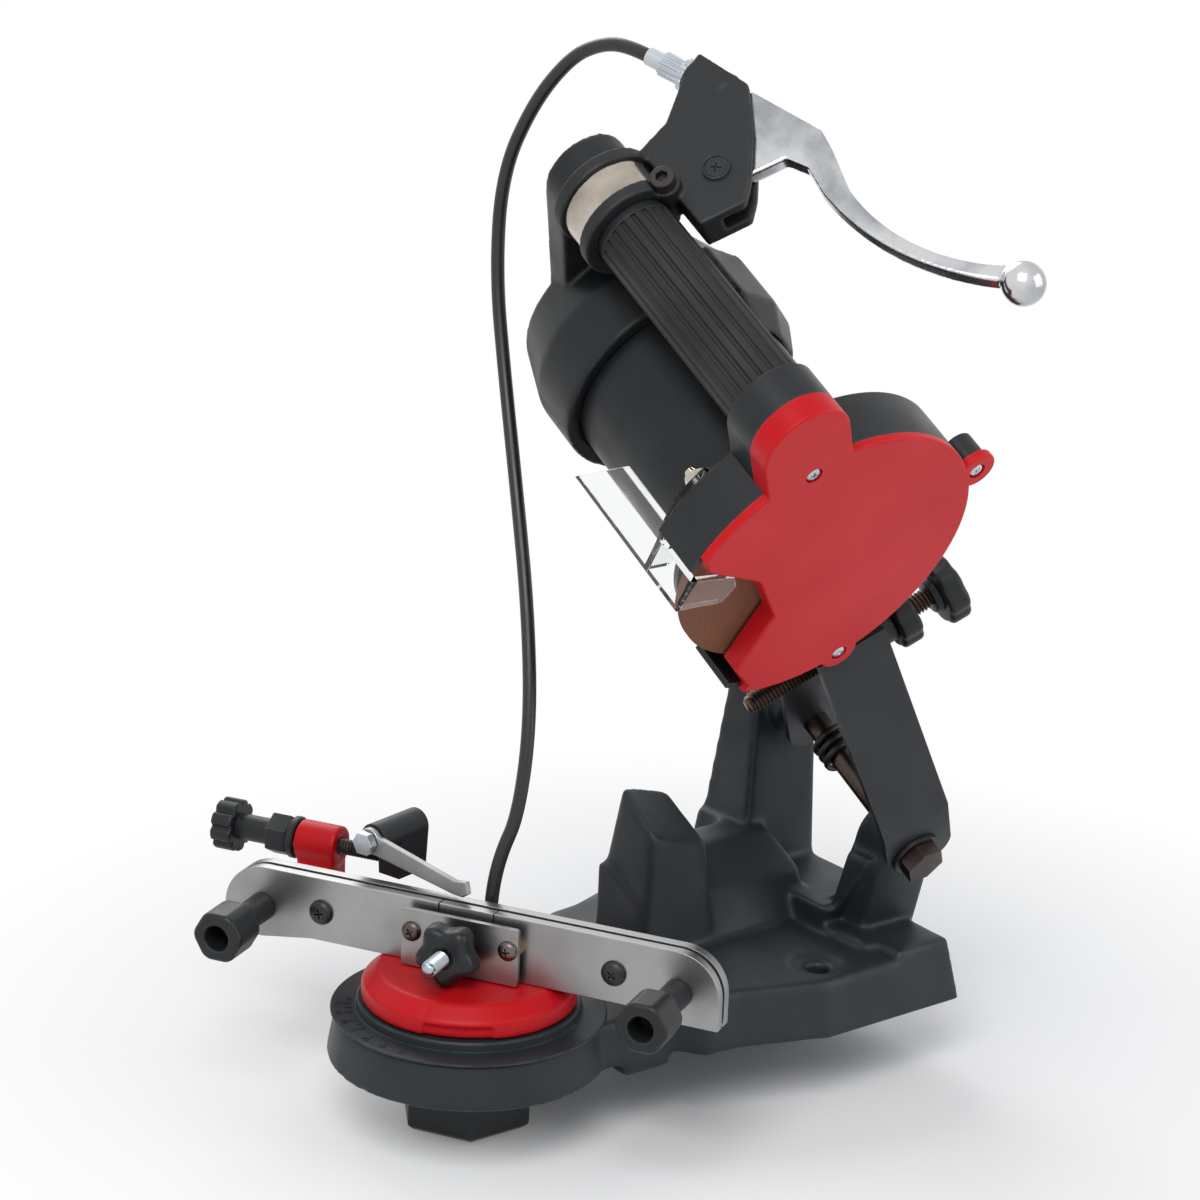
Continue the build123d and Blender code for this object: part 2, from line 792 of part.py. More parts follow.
# ================================================================ chain stop
rod_end = pawl_pivot_x + 3
with BuildPart() as stop_rod:
    with BuildSketch(shifted(ALONG, stop_z, -stop_y, stop_knob_end + 2)):
        Circle(stop_rod_d / 2)
    extrude(amount=rod_end - stop_knob_end - 2)
save(stop_rod.part, "stop_rod")

nut_end = sleeve_start - face_gap
nut_start = nut_end - 3 - stop_nut_height
with BuildPart() as stop_knob:
    with BuildSketch(shifted(ALONG, stop_z, -stop_y, stop_knob_end)):
        Circle(stop_knob_d / 2)
        with PolarLocations(stop_knob_d / 2 + 0.4, 16):
            Circle(1, mode=Mode.SUBTRACT)
    extrude(amount=stop_knob_height)
    with BuildSketch(shifted(ALONG, stop_z, -stop_y, stop_knob_end + stop_knob_height)):
        Circle(stop_neck_d / 2)
    extrude(amount=nut_start - face_gap - stop_knob_end - stop_knob_height)
    with BuildSketch(shifted(ALONG, stop_z, -stop_y, stop_knob_end + 2 - run_clearance)):
        Circle(sleeve_bore / 2)
    extrude(amount=30, mode=Mode.SUBTRACT)
save(stop_knob.part, "stop_knob")

with BuildPart() as stop_lock_nut:
    with BuildSketch(shifted(ALONG, stop_z, -stop_y, nut_start)):
        RegularPolygon(stop_nut_af / 2, 6, major_radius=False)
    extrude(amount=stop_nut_height)
    with BuildSketch(shifted(ALONG, stop_z, -stop_y, nut_start + stop_nut_height)):
        Circle(stop_flange_d / 2)
    extrude(amount=3)
    with BuildSketch(shifted(ALONG, stop_z, -stop_y, nut_start)):
        Circle(sleeve_bore / 2)
    extrude(amount=stop_nut_height + 3, mode=Mode.SUBTRACT)
save(stop_lock_nut.part, "stop_lock_nut")

with BuildPart() as stop_bracket:
    with BuildSketch(BARREL):
        Circle(barrel_radius)
    extrude(amount=barrel_length)
    with BuildSketch(BARREL.offset(9)):
        outline((-barrel_radius, 0), (barrel_radius, 0), (5, -17), (-5, -17))
    extrude(amount=barrel_length - 9)
    with BuildSketch(shifted(ALONG, stop_z, -stop_y, rod_end - 20)):
        Circle(sleeve_bore / 2)
    extrude(amount=20 + run_clearance, mode=Mode.SUBTRACT)
    with BuildSketch(BARREL):
        Circle(pawl_bolt_d / 2)
    extrude(amount=10, mode=Mode.SUBTRACT)
save(stop_bracket.part, "stop_bracket")

with BuildPart() as stop_pawl:
    with BuildSketch(shifted(BARREL, 0, 0, -face_gap - pawl_thickness, pawl_drop)) as shape:
        Circle(pawl_eye_radius)
        outline(
            (-3, -4),
            (-pawl_length + 7, -0.8),
            (-pawl_length + 2, 0.2),
            (-pawl_length, 2.4),
            (-pawl_length + 2, 6.5),
            (-pawl_length + 7, 4.5),
            (-3, 3.5),
        )
        Circle(pawl_bolt_d / 2 + run_clearance, mode=Mode.SUBTRACT)
    extrude(amount=pawl_thickness)
save(stop_pawl.part, "stop_pawl")

with BuildPart() as pawl_bolt:
    with BuildSketch(BARREL.offset(-2 * face_gap - pawl_thickness)):
        Circle(pawl_bolt_d / 2)
    extrude(amount=pawl_thickness + 2 * face_gap + 10)
    with BuildSketch(BARREL.offset(-2 * face_gap - pawl_thickness)):
        RegularPolygon(4, 6, major_radius=False)
    extrude(amount=-3.5)
save(pawl_bolt.part, "pawl_bolt")

# ================================================================ swing arm
arm_back = -arm_far - arm_plate
with BuildPart() as swing_arm:
    # outer form, then the space between the flanges
    with BuildSketch(ARM_SIDE.offset(-arm_right)):
        outline(
            (-arm_tail, -arm_near - arm_plate),
            (arm_bend, -arm_near - arm_plate),
            (arm_near_end, -arm_near_top - arm_plate),
            (arm_near_end, guard_back),
            (arm_top, guard_back),
            (arm_top, -arm_back),
            (-arm_tail, -arm_back),
        )
    extrude(amount=arm_right + arm_left)
    with BuildSketch(ARM_SIDE.offset(-arm_right + arm_plate)):
        outline(
            (-arm_tail - 1, -arm_near),
            (arm_bend - 1, -arm_near),
            (arm_near_end + 1, -arm_near_top),
            (arm_near_end + 1, guard_back + arm_plate),
            (arm_top + 1, guard_back + arm_plate),
            (arm_top + 1, arm_far),
            (-arm_tail - 1, arm_far),
        )
    extrude(amount=arm_right + arm_left, mode=Mode.SUBTRACT)
    # the web stops short of the pivot
    with BuildSketch(ARM_SIDE.offset(-arm_right - 1)):
        outline((-arm_tail - 1, -arm_near), (arm_bend, -arm_near), (arm_bend, arm_far), (-arm_tail - 1, arm_far))
    extrude(amount=arm_plate + 2, mode=Mode.SUBTRACT)
    fillet(swing_arm.edges().filter_by(Axis(ARM.origin, ARM.z_dir)).group_by(Axis(ARM.origin, ARM.x_dir))[0],
           10)
    with BuildSketch(ARM.offset(-tower_front)):
        Circle(hinge_bore / 2)
    extrude(amount=tower_front + arm_near + arm_plate + 1, mode=Mode.SUBTRACT)
    with BuildSketch(shifted(ARM_SIDE, depth_along, -depth_out, -arm_right)):
        Circle(depth_rod_d / 2 + run_clearance)
    extrude(amount=arm_plate + 1, mode=Mode.SUBTRACT)
    with BuildSketch(ARM.offset(-guard_back - arm_plate)):
        with Locations(arm_screw_places):
            Circle(2)
    extrude(amount=arm_plate, mode=Mode.SUBTRACT)
save(swing_arm.part, "swing_arm")

BUSH = shifted(ARM_SIDE, depth_along, -depth_out, -arm_right)
OUT = Plane(origin=BUSH.origin, x_dir=BUSH.x_dir, z_dir=BUSH.z_dir * -1)
rod_bore = depth_rod_d / 2 + run_clearance
save(ring(OUT, bushing_d / 2, rod_bore, bushing_length), "depth_bushing")

lock_at = bushing_length + face_gap


def lobed(plane, diameter, height, lobes, bite):
    """A hand knob with scalloped sides."""
    with BuildPart() as body:
        with BuildSketch(plane):
            Circle(diameter / 2)
            with PolarLocations(diameter / 2 + bite, lobes):
                Circle(bite * 2, mode=Mode.SUBTRACT)
        extrude(amount=height)
    return body.part


with BuildPart() as depth_lock_knob:
    add(lobed(OUT.offset(lock_at), depth_lock_d, depth_lock_height, 8, 2))
    with BuildSketch(OUT.offset(lock_at)):
        Circle(rod_bore)
    extrude(amount=depth_lock_height, mode=Mode.SUBTRACT)
save(depth_lock_knob.part, "depth_lock_knob")

knob_at = depth_end - arm_right - 2
with BuildPart() as depth_rod:
    with BuildSketch(OUT.offset(-arm_right - depth_tip)):
        Circle(depth_rod_d / 2)
    extrude(amount=depth_end + depth_tip)
save(depth_rod.part, "depth_rod")

with BuildPart() as depth_knob:
    with BuildSketch(OUT.offset(knob_at - depth_collar_height)):
        Circle(bushing_d / 2)
    extrude(amount=depth_collar_height)
    add(lobed(OUT.offset(knob_at), depth_knob_d, depth_knob_height, 8, 2))
    with BuildSketch(OUT.offset(knob_at - depth_collar_height)):
        Circle(rod_bore)
    extrude(amount=depth_collar_height + 2 + run_clearance, mode=Mode.SUBTRACT)
save(depth_knob.part, "depth_knob")

# ================================================================ wheel
half_wheel = wheel_thickness / 2
with BuildPart() as grinding_wheel:
    with BuildSketch(WHEEL.offset(-half_wheel)):
        Circle(wheel_radius)
        Circle(spindle_d / 2, mode=Mode.SUBTRACT)
    extrude(amount=wheel_thickness)
save(grinding_wheel.part, "grinding_wheel")

nut_face = half_wheel + flange_thickness
with BuildPart() as wheel_flanges:
    add(ring(WHEEL.offset(half_wheel), flange_d / 2, spindle_d / 2, flange_thickness))
    add(ring(WHEEL.offset(-half_wheel - flange_thickness), flange_d / 2, spindle_d / 2, flange_thickness))
    add(hex_nut(WHEEL.offset(nut_face), spindle_nut_af, spindle_nut_height, spindle_d))
save(wheel_flanges.part, "wheel_flanges")

spindle_end = rear_bearing + bearing_width
save(ring(WHEEL.offset(-spindle_end), spindle_d / 2, 0, spindle_end + nut_face + spindle_nut_height), "spindle")
save(ring(WHEEL.offset(-rotor_start - rotor_length), rotor_radius, spindle_d / 2, rotor_length), "rotor")

# ---------------------------------------------------------------- guard and cover
cover_back = cover_front - cover_wall
grip_dx = grip_x - wheel_x
grip_dy = grip_w - wheel_w
boss_turn = math.degrees(math.atan2(-grip_dx, grip_dy))
boss_away = math.hypot(grip_dx, grip_dy)
boss_mid = (grip_dx * (1 - 12 / boss_away), grip_dy * (1 - 12 / boss_away))


def rim_place(turn, out):
    """A place on the cover, at an angle and a distance outside its rim."""
    at = math.radians(turn)
    return ((cover_radius + out) * math.cos(at), (cover_radius + out) * math.sin(at))


boss_screw = rim_place(boss_screw_angle, boss_screw_out)
ear_screws = (rim_place(ear_angle, ear_out), rim_place(low_ear_angle, low_ear_out))
spindle_hole = spindle_d / 2 + 1


def boss_outline():
    """The boss round the grip's end, run into the guard."""
    with Locations((grip_dx, grip_dy)):
        Circle(boss_radius)
    with Locations(boss_mid):
        Rectangle(2 * boss_radius, 24, rotation=boss_turn)


def notch_outline(mode):
    """The part of the disc left open for the wheel."""
    far_out = cover_radius + 15
    outline(
        (-far_out, notch_top),
        (1 - cover_radius, notch_top),
        (6.4 - cover_radius, notch_top - 7.1),
        (-27.4, -0.7),
        (-11, -21),
        (notch_side - 9.5, 13.1 - cover_radius),
        (notch_side, 3.8 - cover_radius),
        (notch_side, -far_out),
        (-far_out, -far_out),
        mode=mode,
    )


def open_sector():
    first = math.radians(guard_open_from)
    last = math.radians(guard_open_to)
    middle = (first + last) / 2
    outline(
        (0, 0),
        (100 * math.cos(first), 100 * math.sin(first)),
        (120 * math.cos(middle), 120 * math.sin(middle)),
        (100 * math.cos(last), 100 * math.sin(last)),
        mode=Mode.SUBTRACT,
    )


guard_inside = cover_radius - guard_wall
with BuildPart() as wheel_guard:
    with BuildSketch(WHEEL.offset(-guard_back)):
        Circle(cover_radius)
        open_sector()
        Circle(guard_open_radius)
        Circle(spindle_hole, mode=Mode.SUBTRACT)
    extrude(amount=guard_wall)
    with BuildSketch(WHEEL.offset(-guard_back)):
        Circle(cover_radius)
        Circle(guard_inside, mode=Mode.SUBTRACT)
        open_sector()
    extrude(amount=guard_back + cover_back)
    with BuildSketch(WHEEL.offset(-guard_back)):
        boss_outline()
        Circle(guard_inside, mode=Mode.SUBTRACT)
    extrude(amount=guard_back + boss_back)
    with BuildSketch(WHEEL.offset(-boss_back)):
        with Locations(ear_screws):
            Circle(ear_boss_radius)
        Circle(guard_inside - 1, mode=Mode.SUBTRACT)
    extrude(amount=cover_back + boss_back)
    with BuildSketch(WHEEL.offset(-guard_back)):
        with Locations(boss_screw):
            Circle(4.5)
        Circle(cover_radius, mode=Mode.INTERSECT)
    extrude(amount=guard_back + cover_back)
    with BuildSketch(WHEEL.offset(-boss_back + 1)):
        with Locations(boss_screw, *ear_screws):
            Circle(cover_screw_d / 2)
    extrude(amount=cover_back + boss_back, mode=Mode.SUBTRACT)
    with BuildSketch(GRIP.offset(-guard_back)):
        Circle(grip_tube_d / 2)
    extrude(amount=guard_back, mode=Mode.SUBTRACT)
    with BuildSketch(WHEEL.offset(-guard_back)):
        with Locations(visor_screw_place):
            Circle(2)
    extrude(amount=guard_wall, mode=Mode.SUBTRACT)
    with BuildSketch(ARM.offset(-guard_back)):
        with Locations(arm_screw_places):
            Circle(2)
    extrude(amount=guard_wall, mode=Mode.SUBTRACT)
save(wheel_guard.part, "wheel_guard")

with BuildPart() as wheel_cover:
    with BuildSketch(WHEEL.offset(cover_back)):
        Circle(cover_radius)
        boss_outline()
        with Locations(ear_screws):
            Circle(ear_screw_radius)
        notch_outline(Mode.SUBTRACT)
    extrude(amount=cover_wall)
    fillet(wheel_cover.edges().group_by(Axis(WHEEL.origin, WHEEL.z_dir))[-1], cover_edge)
    with BuildSketch(WHEEL.offset(boss_back)):
        boss_outline()
        Circle(cover_radius, mode=Mode.SUBTRACT)
    extrude(amount=cover_back - boss_back)
    # wall along the opening
    with BuildSketch(WHEEL.offset(cover_back)):
        notch_outline(Mode.ADD)
        offset(amount=guard_wall)
        notch_outline(Mode.SUBTRACT)
        Circle(guard_inside - face_gap, mode=Mode.INTERSECT)
    extrude(amount=-notch_depth)
    with BuildSketch(WHEEL.offset(boss_back)):
        with Locations(boss_screw, *ear_screws):
            Circle(cover_screw_d / 2)
    extrude(amount=cover_front - boss_back, mode=Mode.SUBTRACT)
    with BuildSketch(WHEEL.offset(cover_front)):
        with Locations(boss_screw, *ear_screws):
            Circle(cover_screw_head / 2)
    extrude(amount=-cover_screw_sink, mode=Mode.SUBTRACT)
save(wheel_cover.part, "wheel_cover")

BACK = Plane(origin=ARM.offset(-guard_back - arm_plate).origin, x_dir=ARM.x_dir, z_dir=ARM.z_dir * -1)
with BuildPart() as head_screws:
    for place in (boss_screw, *ear_screws):
        add(screw(shifted(WHEEL, *place, cover_front - cover_screw_sink), cover_screw_head - 0.4,
                  cover_screw_sink, cover_screw_d, cover_wall + 6))
    for along, across in arm_screw_places:
        add(screw(shifted(BACK, along, -across), 7, 2.5, 4, arm_plate + guard_wall))
save(head_screws.part, "head_screws")

# ================================================================ motor
drum_inside = drum_radius - drum_wall
# SWITCH: z along the rocker's hinge, y out of the pod. GLAND: z out of the back of the motor.
SWITCH = shifted(
    Plane(
        origin=WHEEL.from_local_coords((pod_side - switch_depth, -2, -switch_at)),
        x_dir=WHEEL.z_dir,
        z_dir=WHEEL.z_dir.cross(WHEEL.x_dir),
    ),
    0,
    0,
    0,
    switch_throw / 2,
)
GLAND = Plane(
    origin=WHEEL.from_local_coords((14, -14, -housing_end)),
    x_dir=WHEEL.x_dir,
    z_dir=WHEEL.z_dir * -1,
)
bearing_bore = spindle_d / 2 + run_clearance
with BuildPart() as motor_front:
    with BuildSketch(WHEEL.offset(-drum_end)):
        Circle(drum_radius)
        Circle(drum_inside, mode=Mode.SUBTRACT)
    extrude(amount=drum_end - guard_back)
    with BuildSketch(WHEEL.offset(-guard_back - drum_front_wall)):
        Circle(drum_inside)
        Circle(spindle_hole, mode=Mode.SUBTRACT)
    extrude(amount=drum_front_wall)
    with BuildSketch(WHEEL.offset(-front_bearing - bearing_width)):
        Circle(bearing_radius + 3)
        Circle(bearing_radius, mode=Mode.SUBTRACT)
    extrude(amount=front_bearing + bearing_width - guard_back - drum_front_wall)
save(motor_front.part, "motor_front")

with BuildPart() as bearings:
    add(ring(WHEEL.offset(-front_bearing - bearing_width), bearing_radius, bearing_bore, bearing_width))
    add(ring(WHEEL.offset(-rear_bearing - bearing_width), bearing_radius, bearing_bore, bearing_width))
save(bearings.part, "bearings")

save(ring(WHEEL.offset(-rotor_start - rotor_length), drum_inside, rotor_radius + 1, rotor_length), "stator")


def pod_outline():
    outline((0, 0), (8, 44), (27, 36.5), (40, 24), (pod_side, 10), (pod_side, -14), (38, -24))


with BuildPart() as motor_rear:
    with BuildSketch(MOTOR_SIDE):
        outline(
            (0, drum_end - housing_lap),
            (housing_radius, drum_end - housing_lap),
            (housing_radius, housing_straight),
            (housing_end_radius, housing_end),
            (0, housing_end),
        )
    revolve(axis=Axis(WHEEL.origin, WHEEL.z_dir))
    # faceted pod for the rocker, on the far side from the vise
    with BuildSketch(WHEEL.offset(-pod_shoulder)):
        pod_outline()
    extrude(amount=pod_shoulder - pod_front, taper=26)
    with BuildSketch(WHEEL.offset(-pod_shoulder)):
        pod_outline()
    extrude(amount=pod_shoulder - housing_straight)
    # arm up to the grip
    with BuildSketch(WHEEL.offset(-lug_end)):
        with Locations((grip_dx, grip_dy)):
            Circle(lug_radius)
        with Locations((grip_dx * 0.25, grip_dy * 0.25)):
            Circle(lug_radius + 6)
        make_hull()
    extrude(amount=lug_end - lug_start)
    # socket for the drum, space for the rear bearing
    with BuildSketch(WHEEL.offset(-drum_end)):
        Circle(drum_radius)
    extrude(amount=drum_end, mode=Mode.SUBTRACT)
    with BuildSketch(WHEEL.offset(-housing_end + housing_wall)):
        Circle(drum_inside)
        Circle(bearing_radius + 3, mode=Mode.SUBTRACT)
    extrude(amount=housing_end - housing_wall - drum_end, mode=Mode.SUBTRACT)
    with BuildSketch(WHEEL.offset(-rear_bearing)):
        Circle(bearing_radius + 3)
    extrude(amount=rear_bearing - drum_end, mode=Mode.SUBTRACT)
    with BuildSketch(WHEEL.offset(-rear_bearing - bearing_width)):
        Circle(bearing_radius)
    extrude(amount=bearing_width, mode=Mode.SUBTRACT)
    with BuildSketch(GRIP.offset(-lug_end + 3)):
        Circle(grip_tube_d / 2)
    extrude(amount=lug_end - 3 - lug_start, mode=Mode.SUBTRACT)
    with BuildSketch(SWITCH.offset(-switch_width / 2 - run_clearance)):
        Circle(switch_radius + run_clearance)
    extrude(amount=switch_width + 2 * run_clearance, mode=Mode.SUBTRACT)
    with BuildSketch(GLAND.offset(-3)):
        Circle(gland_d / 2)
    extrude(amount=3, mode=Mode.SUBTRACT)
save(motor_rear.part, "motor_rear")

with BuildPart() as power_switch:
    with BuildSketch(SWITCH.offset(-switch_width / 2)):
        Circle(switch_radius)
        top = switch_depth + 1.8
        rise = switch_radius * math.tan(math.radians(switch_throw / 2))
        outline(
            (-12, 12),
            (-12, top + 1.5 * rise),
            (0, top),
            (12, top + 1.5 * rise),
            (12, 12),
            mode=Mode.SUBTRACT,
        )
    extrude(amount=switch_width)
save(power_switch.part, "power_switch")

with BuildPart() as inlet_gland:
    with BuildSketch(GLAND.offset(-3)):
        Circle(gland_d / 2)
    extrude(amount=3)
    with BuildSketch(GLAND):
        Circle(gland_d / 2)
    with BuildSketch(GLAND.offset(gland_length)):
        Circle(gland_bore / 2 + 1.5)
    loft()
    with BuildSketch(GLAND):
        Circle(gland_bore / 2)
    extrude(amount=gland_length, mode=Mode.SUBTRACT)
save(inlet_gland.part, "inlet_gland")

# ================================================================ grip
with BuildPart() as grip_core:
    with BuildSketch(GRIP.offset(-lug_end + 3)):
        Circle(grip_tube_d / 2)
    extrude(amount=lug_end - 3)
    with BuildSketch(GRIP.offset(-lug_start)):
        Circle(grip_radius)
        Circle(grip_tube_d / 2, mode=Mode.SUBTRACT)
    extrude(amount=lug_start - grip_end)
save(grip_core.part, "grip_core")

with BuildPart() as grip:
    with BuildSketch(GRIP.offset(-grip_end)):
        Circle(grip_radius)
        with PolarLocations(grip_radius, flute_count):
            Circle(flute_radius, mode=Mode.SUBTRACT)
        Circle(grip_tube_d / 2, mode=Mode.SUBTRACT)
    extrude(amount=grip_end - grip_start)
save(grip.part, "grip")

# ---------------------------------------------------------------- lever perch
ring_near = clamp_at - clamp_half - clamp_ring_width
ring_far = clamp_at + clamp_half + clamp_ring_width
FORK = math.radians(adjuster_slope)
adjuster_dir = LEVER.x_dir * math.cos(FORK) + LEVER.y_dir * math.sin(FORK)
ADJUSTER = Plane(origin=LEVER.from_local_coords((-28.7, 48.8, 0)), z_dir=adjuster_dir)
slot_half_width = blade_half + face_gap
with BuildPart() as lever_perch:
    with BuildSketch(GRIP.offset(-ring_near - clamp_ring_width)):
        Circle(clamp_ring_radius)
        Circle(grip_radius, mode=Mode.SUBTRACT)
    extrude(amount=clamp_ring_width)
    with BuildSketch(GRIP.offset(-ring_far)):
        Circle(clamp_ring_radius)
        Circle(grip_radius, mode=Mode.SUBTRACT)
    extrude(amount=clamp_ring_width)
    with BuildSketch(LEVER.offset(-perch_half)) as shape:
        outline(
            (-11, band_radius + 0.2),
            (-14.5, 30.7),
            (-24.5, 43.1),
            (-33, 54.5),
            (-8.5, 61),
            (8, 52),
            (25, 40),
            (31, 34),
            (28, band_radius + 0.2),
        )
        fillet(shape.vertices().group_by(Axis.Y)[1:], 2)
    extrude(amount=2 * perch_half)
    # slot for the blade
    with BuildSketch(LEVER.offset(-slot_half_width)):
        outline((-11.5, 75), (-11.5, 41), (8, 25.5), (45, 25.5), (45, 75))
    extrude(amount=2 * slot_half_width, mode=Mode.SUBTRACT)
    with BuildSketch(shifted(LEVER, lever_pivot_x, lever_pivot_y, -perch_half)):
        Circle(lever_pivot_d / 2)
    extrude(amount=2 * perch_half, mode=Mode.SUBTRACT)
    with BuildSketch(ADJUSTER.offset(-nose_length)):
        Circle(nose_radius)
    extrude(amount=nose_length)
    with BuildSketch(ADJUSTER):
        Circle(2 * nose_radius)
    extrude(amount=nose_length, mode=Mode.SUBTRACT)
    with BuildSketch(ADJUSTER.offset(-8)):
        Circle(adjuster_core_d / 2)
    extrude(amount=10, mode=Mode.SUBTRACT)
    # boss of the pinch bolt on the ring
    with BuildSketch(shifted(LEVER, pinch_x, pinch_y, 4)):
        Circle(pinch_head_d / 2 + 1)
    extrude(amount=pinch_face - 4)
    with BuildSketch(GRIP.offset(-ring_far)):
        Circle(grip_radius)
    extrude(amount=ring_far - ring_near + 8, mode=Mode.SUBTRACT)
    with BuildSketch(GRIP.offset(-clamp_at - clamp_half)):
        Circle(band_radius)
    extrude(amount=2 * clamp_half, mode=Mode.SUBTRACT)
    with BuildSketch(shifted(LEVER, pinch_x, pinch_y, pinch_face)):
        Circle(pinch_head_d / 2 + 0.5)
    extrude(amount=9, mode=Mode.SUBTRACT)
    with BuildSketch(shifted(LEVER, pinch_x, pinch_y, pinch_face)):
        Circle(pinch_d / 2)
    extrude(amount=-pinch_depth, mode=Mode.SUBTRACT)
save(lever_perch.part, "lever_perch")

with BuildPart() as clamp_band:
    with BuildSketch(GRIP.offset(-clamp_at - clamp_half)):
        Circle(band_radius)
        Circle(grip_radius, mode=Mode.SUBTRACT)
    extrude(amount=2 * clamp_half)
save(clamp_band.part, "clamp_band")

save(screw(shifted(LEVER, pinch_x, pinch_y, pinch_face), pinch_head_d, 4.5, pinch_d, pinch_depth), "pinch_bolt")

PERCH_FACE = LEVER.offset(perch_half)
save(screw(shifted(PERCH_FACE, lever_pivot_x, lever_pivot_y), 10, 1.2, lever_pivot_d, 2 * perch_half + 1),
     "lever_pivot")

# ---------------------------------------------------------------- lever
with BuildPart() as brake_lever:
    with BuildSketch(LEVER.offset(-blade_half)) as shape:
        with Locations((lever_pivot_x, lever_pivot_y)):
            Circle(blade_hub_radius)
        with BuildLine():
            Polyline((8, 38.5), (-8.3, 61), (21.3, 70.6), (30.1, 69.1), (47.3, 64.6))
            Spline((47.3, 64.6), (68.7, 66.1), (85.4, 72.2), (106, 88))
            Line((106, 88), (110, 83.5))
            Spline((110, 83.5), (85.1, 66.3), (61.2, 58.6), (42.2, 57))
            Polyline((42.2, 57), (30.6, 58.7), (22.7, 55), (19, 36), (8, 38.5))
        make_face()
        with Locations((lever_pivot_x, lever_pivot_y)):
            Circle(lever_pivot_d / 2 + run_clearance, mode=Mode.SUBTRACT)
    extrude(amount=2 * blade_half)
    with BuildSketch(shifted(LEVER, 113.4, 88.4)) as ball:
        Circle(lever_ball_d / 2)
        with Locations((0, -lever_ball_d / 2)):
            Rectangle(lever_ball_d, lever_ball_d, mode=Mode.SUBTRACT)
    revolve(axis=Axis(LEVER.from_local_coords((113.4, 88.4, 0)), LEVER.x_dir))
save(brake_lever.part, "brake_lever")

# ---------------------------------------------------------------- cable adjuster
with BuildPart() as barrel_adjuster:
    # threaded core with its lock ring
    with BuildSketch(ADJUSTER.offset(-7)):
        Circle(adjuster_core_d / 2 - run_clearance)
    extrude(amount=8 + face_gap + 3)
    with BuildSketch(ADJUSTER.offset(face_gap)):
        Circle(lock_ring_d / 2)
        with PolarLocations(lock_ring_d / 2 + 0.3, 12):
            Circle(0.8, mode=Mode.SUBTRACT)
    extrude(amount=2.6)
    with BuildSketch(ADJUSTER.offset(face_gap + 3)):
        Circle(barrel_d / 2)
        with PolarLocations(barrel_d / 2 + 0.2, 14):
            Circle(0.6, mode=Mode.SUBTRACT)
    extrude(amount=9)
    with BuildSketch(ADJUSTER.offset(face_gap + 12)):
        Circle(ferrule_d / 2)
    extrude(amount=ferrule_end - face_gap - 12)
save(barrel_adjuster.part, "barrel_adjuster")

# ================================================================ visor
with BuildPart() as visor:
    with BuildSketch(VISOR_SIDE):
        outline((-8, visor_bottom), (58, visor_bottom), (40.5, 10), (guard_back, 10), (guard_back, 3), (-8, 3))
    extrude(amount=visor_wall)
    with BuildSketch(WHEEL.offset(8)):
        outline((visor_x, visor_bottom), (-37, visor_bottom), (-34, -4), (-37, 1), (visor_x, 3))
    extrude(amount=-2.5)
    with BuildSketch(WHEEL.offset(-guard_back)):
        outline((visor_x, visor_bottom), (-45, visor_bottom), (-42, 10), (-44, 33), (-56, 33), (visor_x, 10))
        Circle(cover_radius, mode=Mode.INTERSECT)
        Circle(guard_open_radius, mode=Mode.SUBTRACT)
        with Locations(visor_screw_place):
            Circle(2, mode=Mode.SUBTRACT)
    extrude(amount=-2.5)
save(visor.part, "visor")

with BuildPart() as visor_screw:
    with BuildSketch(shifted(WHEEL, *visor_screw_place, -guard_back + guard_wall)):
        Circle(3)
    extrude(amount=1.5)
    with BuildSketch(shifted(WHEEL, *visor_screw_place, -guard_back + guard_wall)):
        Circle(2)
    extrude(amount=-guard_wall - 8)
    with BuildSketch(shifted(WHEEL, *visor_screw_place, -guard_back - 2.5)):
        RegularPolygon(3.5, 6, major_radius=False)
    extrude(amount=-3.5)
    with BuildSketch(shifted(WHEEL, *visor_screw_place, -guard_back - 6)):
        Circle(3.2)
    extrude(amount=-2.5, taper=25)
save(visor_screw.part, "visor_screw")

# ================================================================ cable
ferrule = ADJUSTER.from_local_coords((0, 0, ferrule_end))
anchor = VISE.from_local_coords((anchor_x, anchor_y, anchor_top))
route = [
    ferrule,
    ferrule + adjuster_dir * 10,
    Vector(-63.8, 26.7, 359),
    Vector(-66.2, 40.5, 352.5),
    Vector(-70, 56.5, 334),
    Vector(-73.5, 69, 307),
    Vector(-75.2, 68.5, 270),
    Vector(-78.5, 56.5, 234),
    Vector(-86, 37, 196),
    Vector(-95.5, 15.5, 159),
    Vector(-104, 0.5, 122),
    Vector(-111.5, -4, 90),
    anchor + Vector(0, 0, 17),
    anchor,
]
parting = (route[7] + route[8]) / 2
upper_route = [*route[:8], parting]
lower_route = [parting, *route[8:]]


def arc_radii(points):
    """The largest arcs that the runs on both sides of each corner leave room for."""
    radii = []
    for before, corner, after in zip(points, points[1:], points[2:]):
        turn = math.radians((corner - before).get_angle(after - corner))
        shorter = min((corner - before).length, (after - corner).length)
        radii.append(0.45 * shorter / math.tan(turn / 2))
    return radii


def cable(points, name):
    radii = arc_radii(points)
    with BuildPart() as body:
        with BuildLine() as path:
            FilletPolyline(*points, radius=radii)
        with BuildSketch(Plane(origin=path.line @ 0, z_dir=path.line % 0)):
            Circle(cable_d / 2)
        sweep()
    length = sum(edge.length for edge in path.edges())
    full = math.pi * (cable_d / 2) ** 2 * length
    print(name, "radii", [round(r) for r in radii], "length", round(length),
          "volume ratio", round(body.part.volume / full, 4))
    save(body.part, name)


cable(upper_route, "cable_upper")
cable(lower_route, "cable_lower")
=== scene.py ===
import bpy
import bmesh
import json
import math
from mathutils import Matrix, Vector

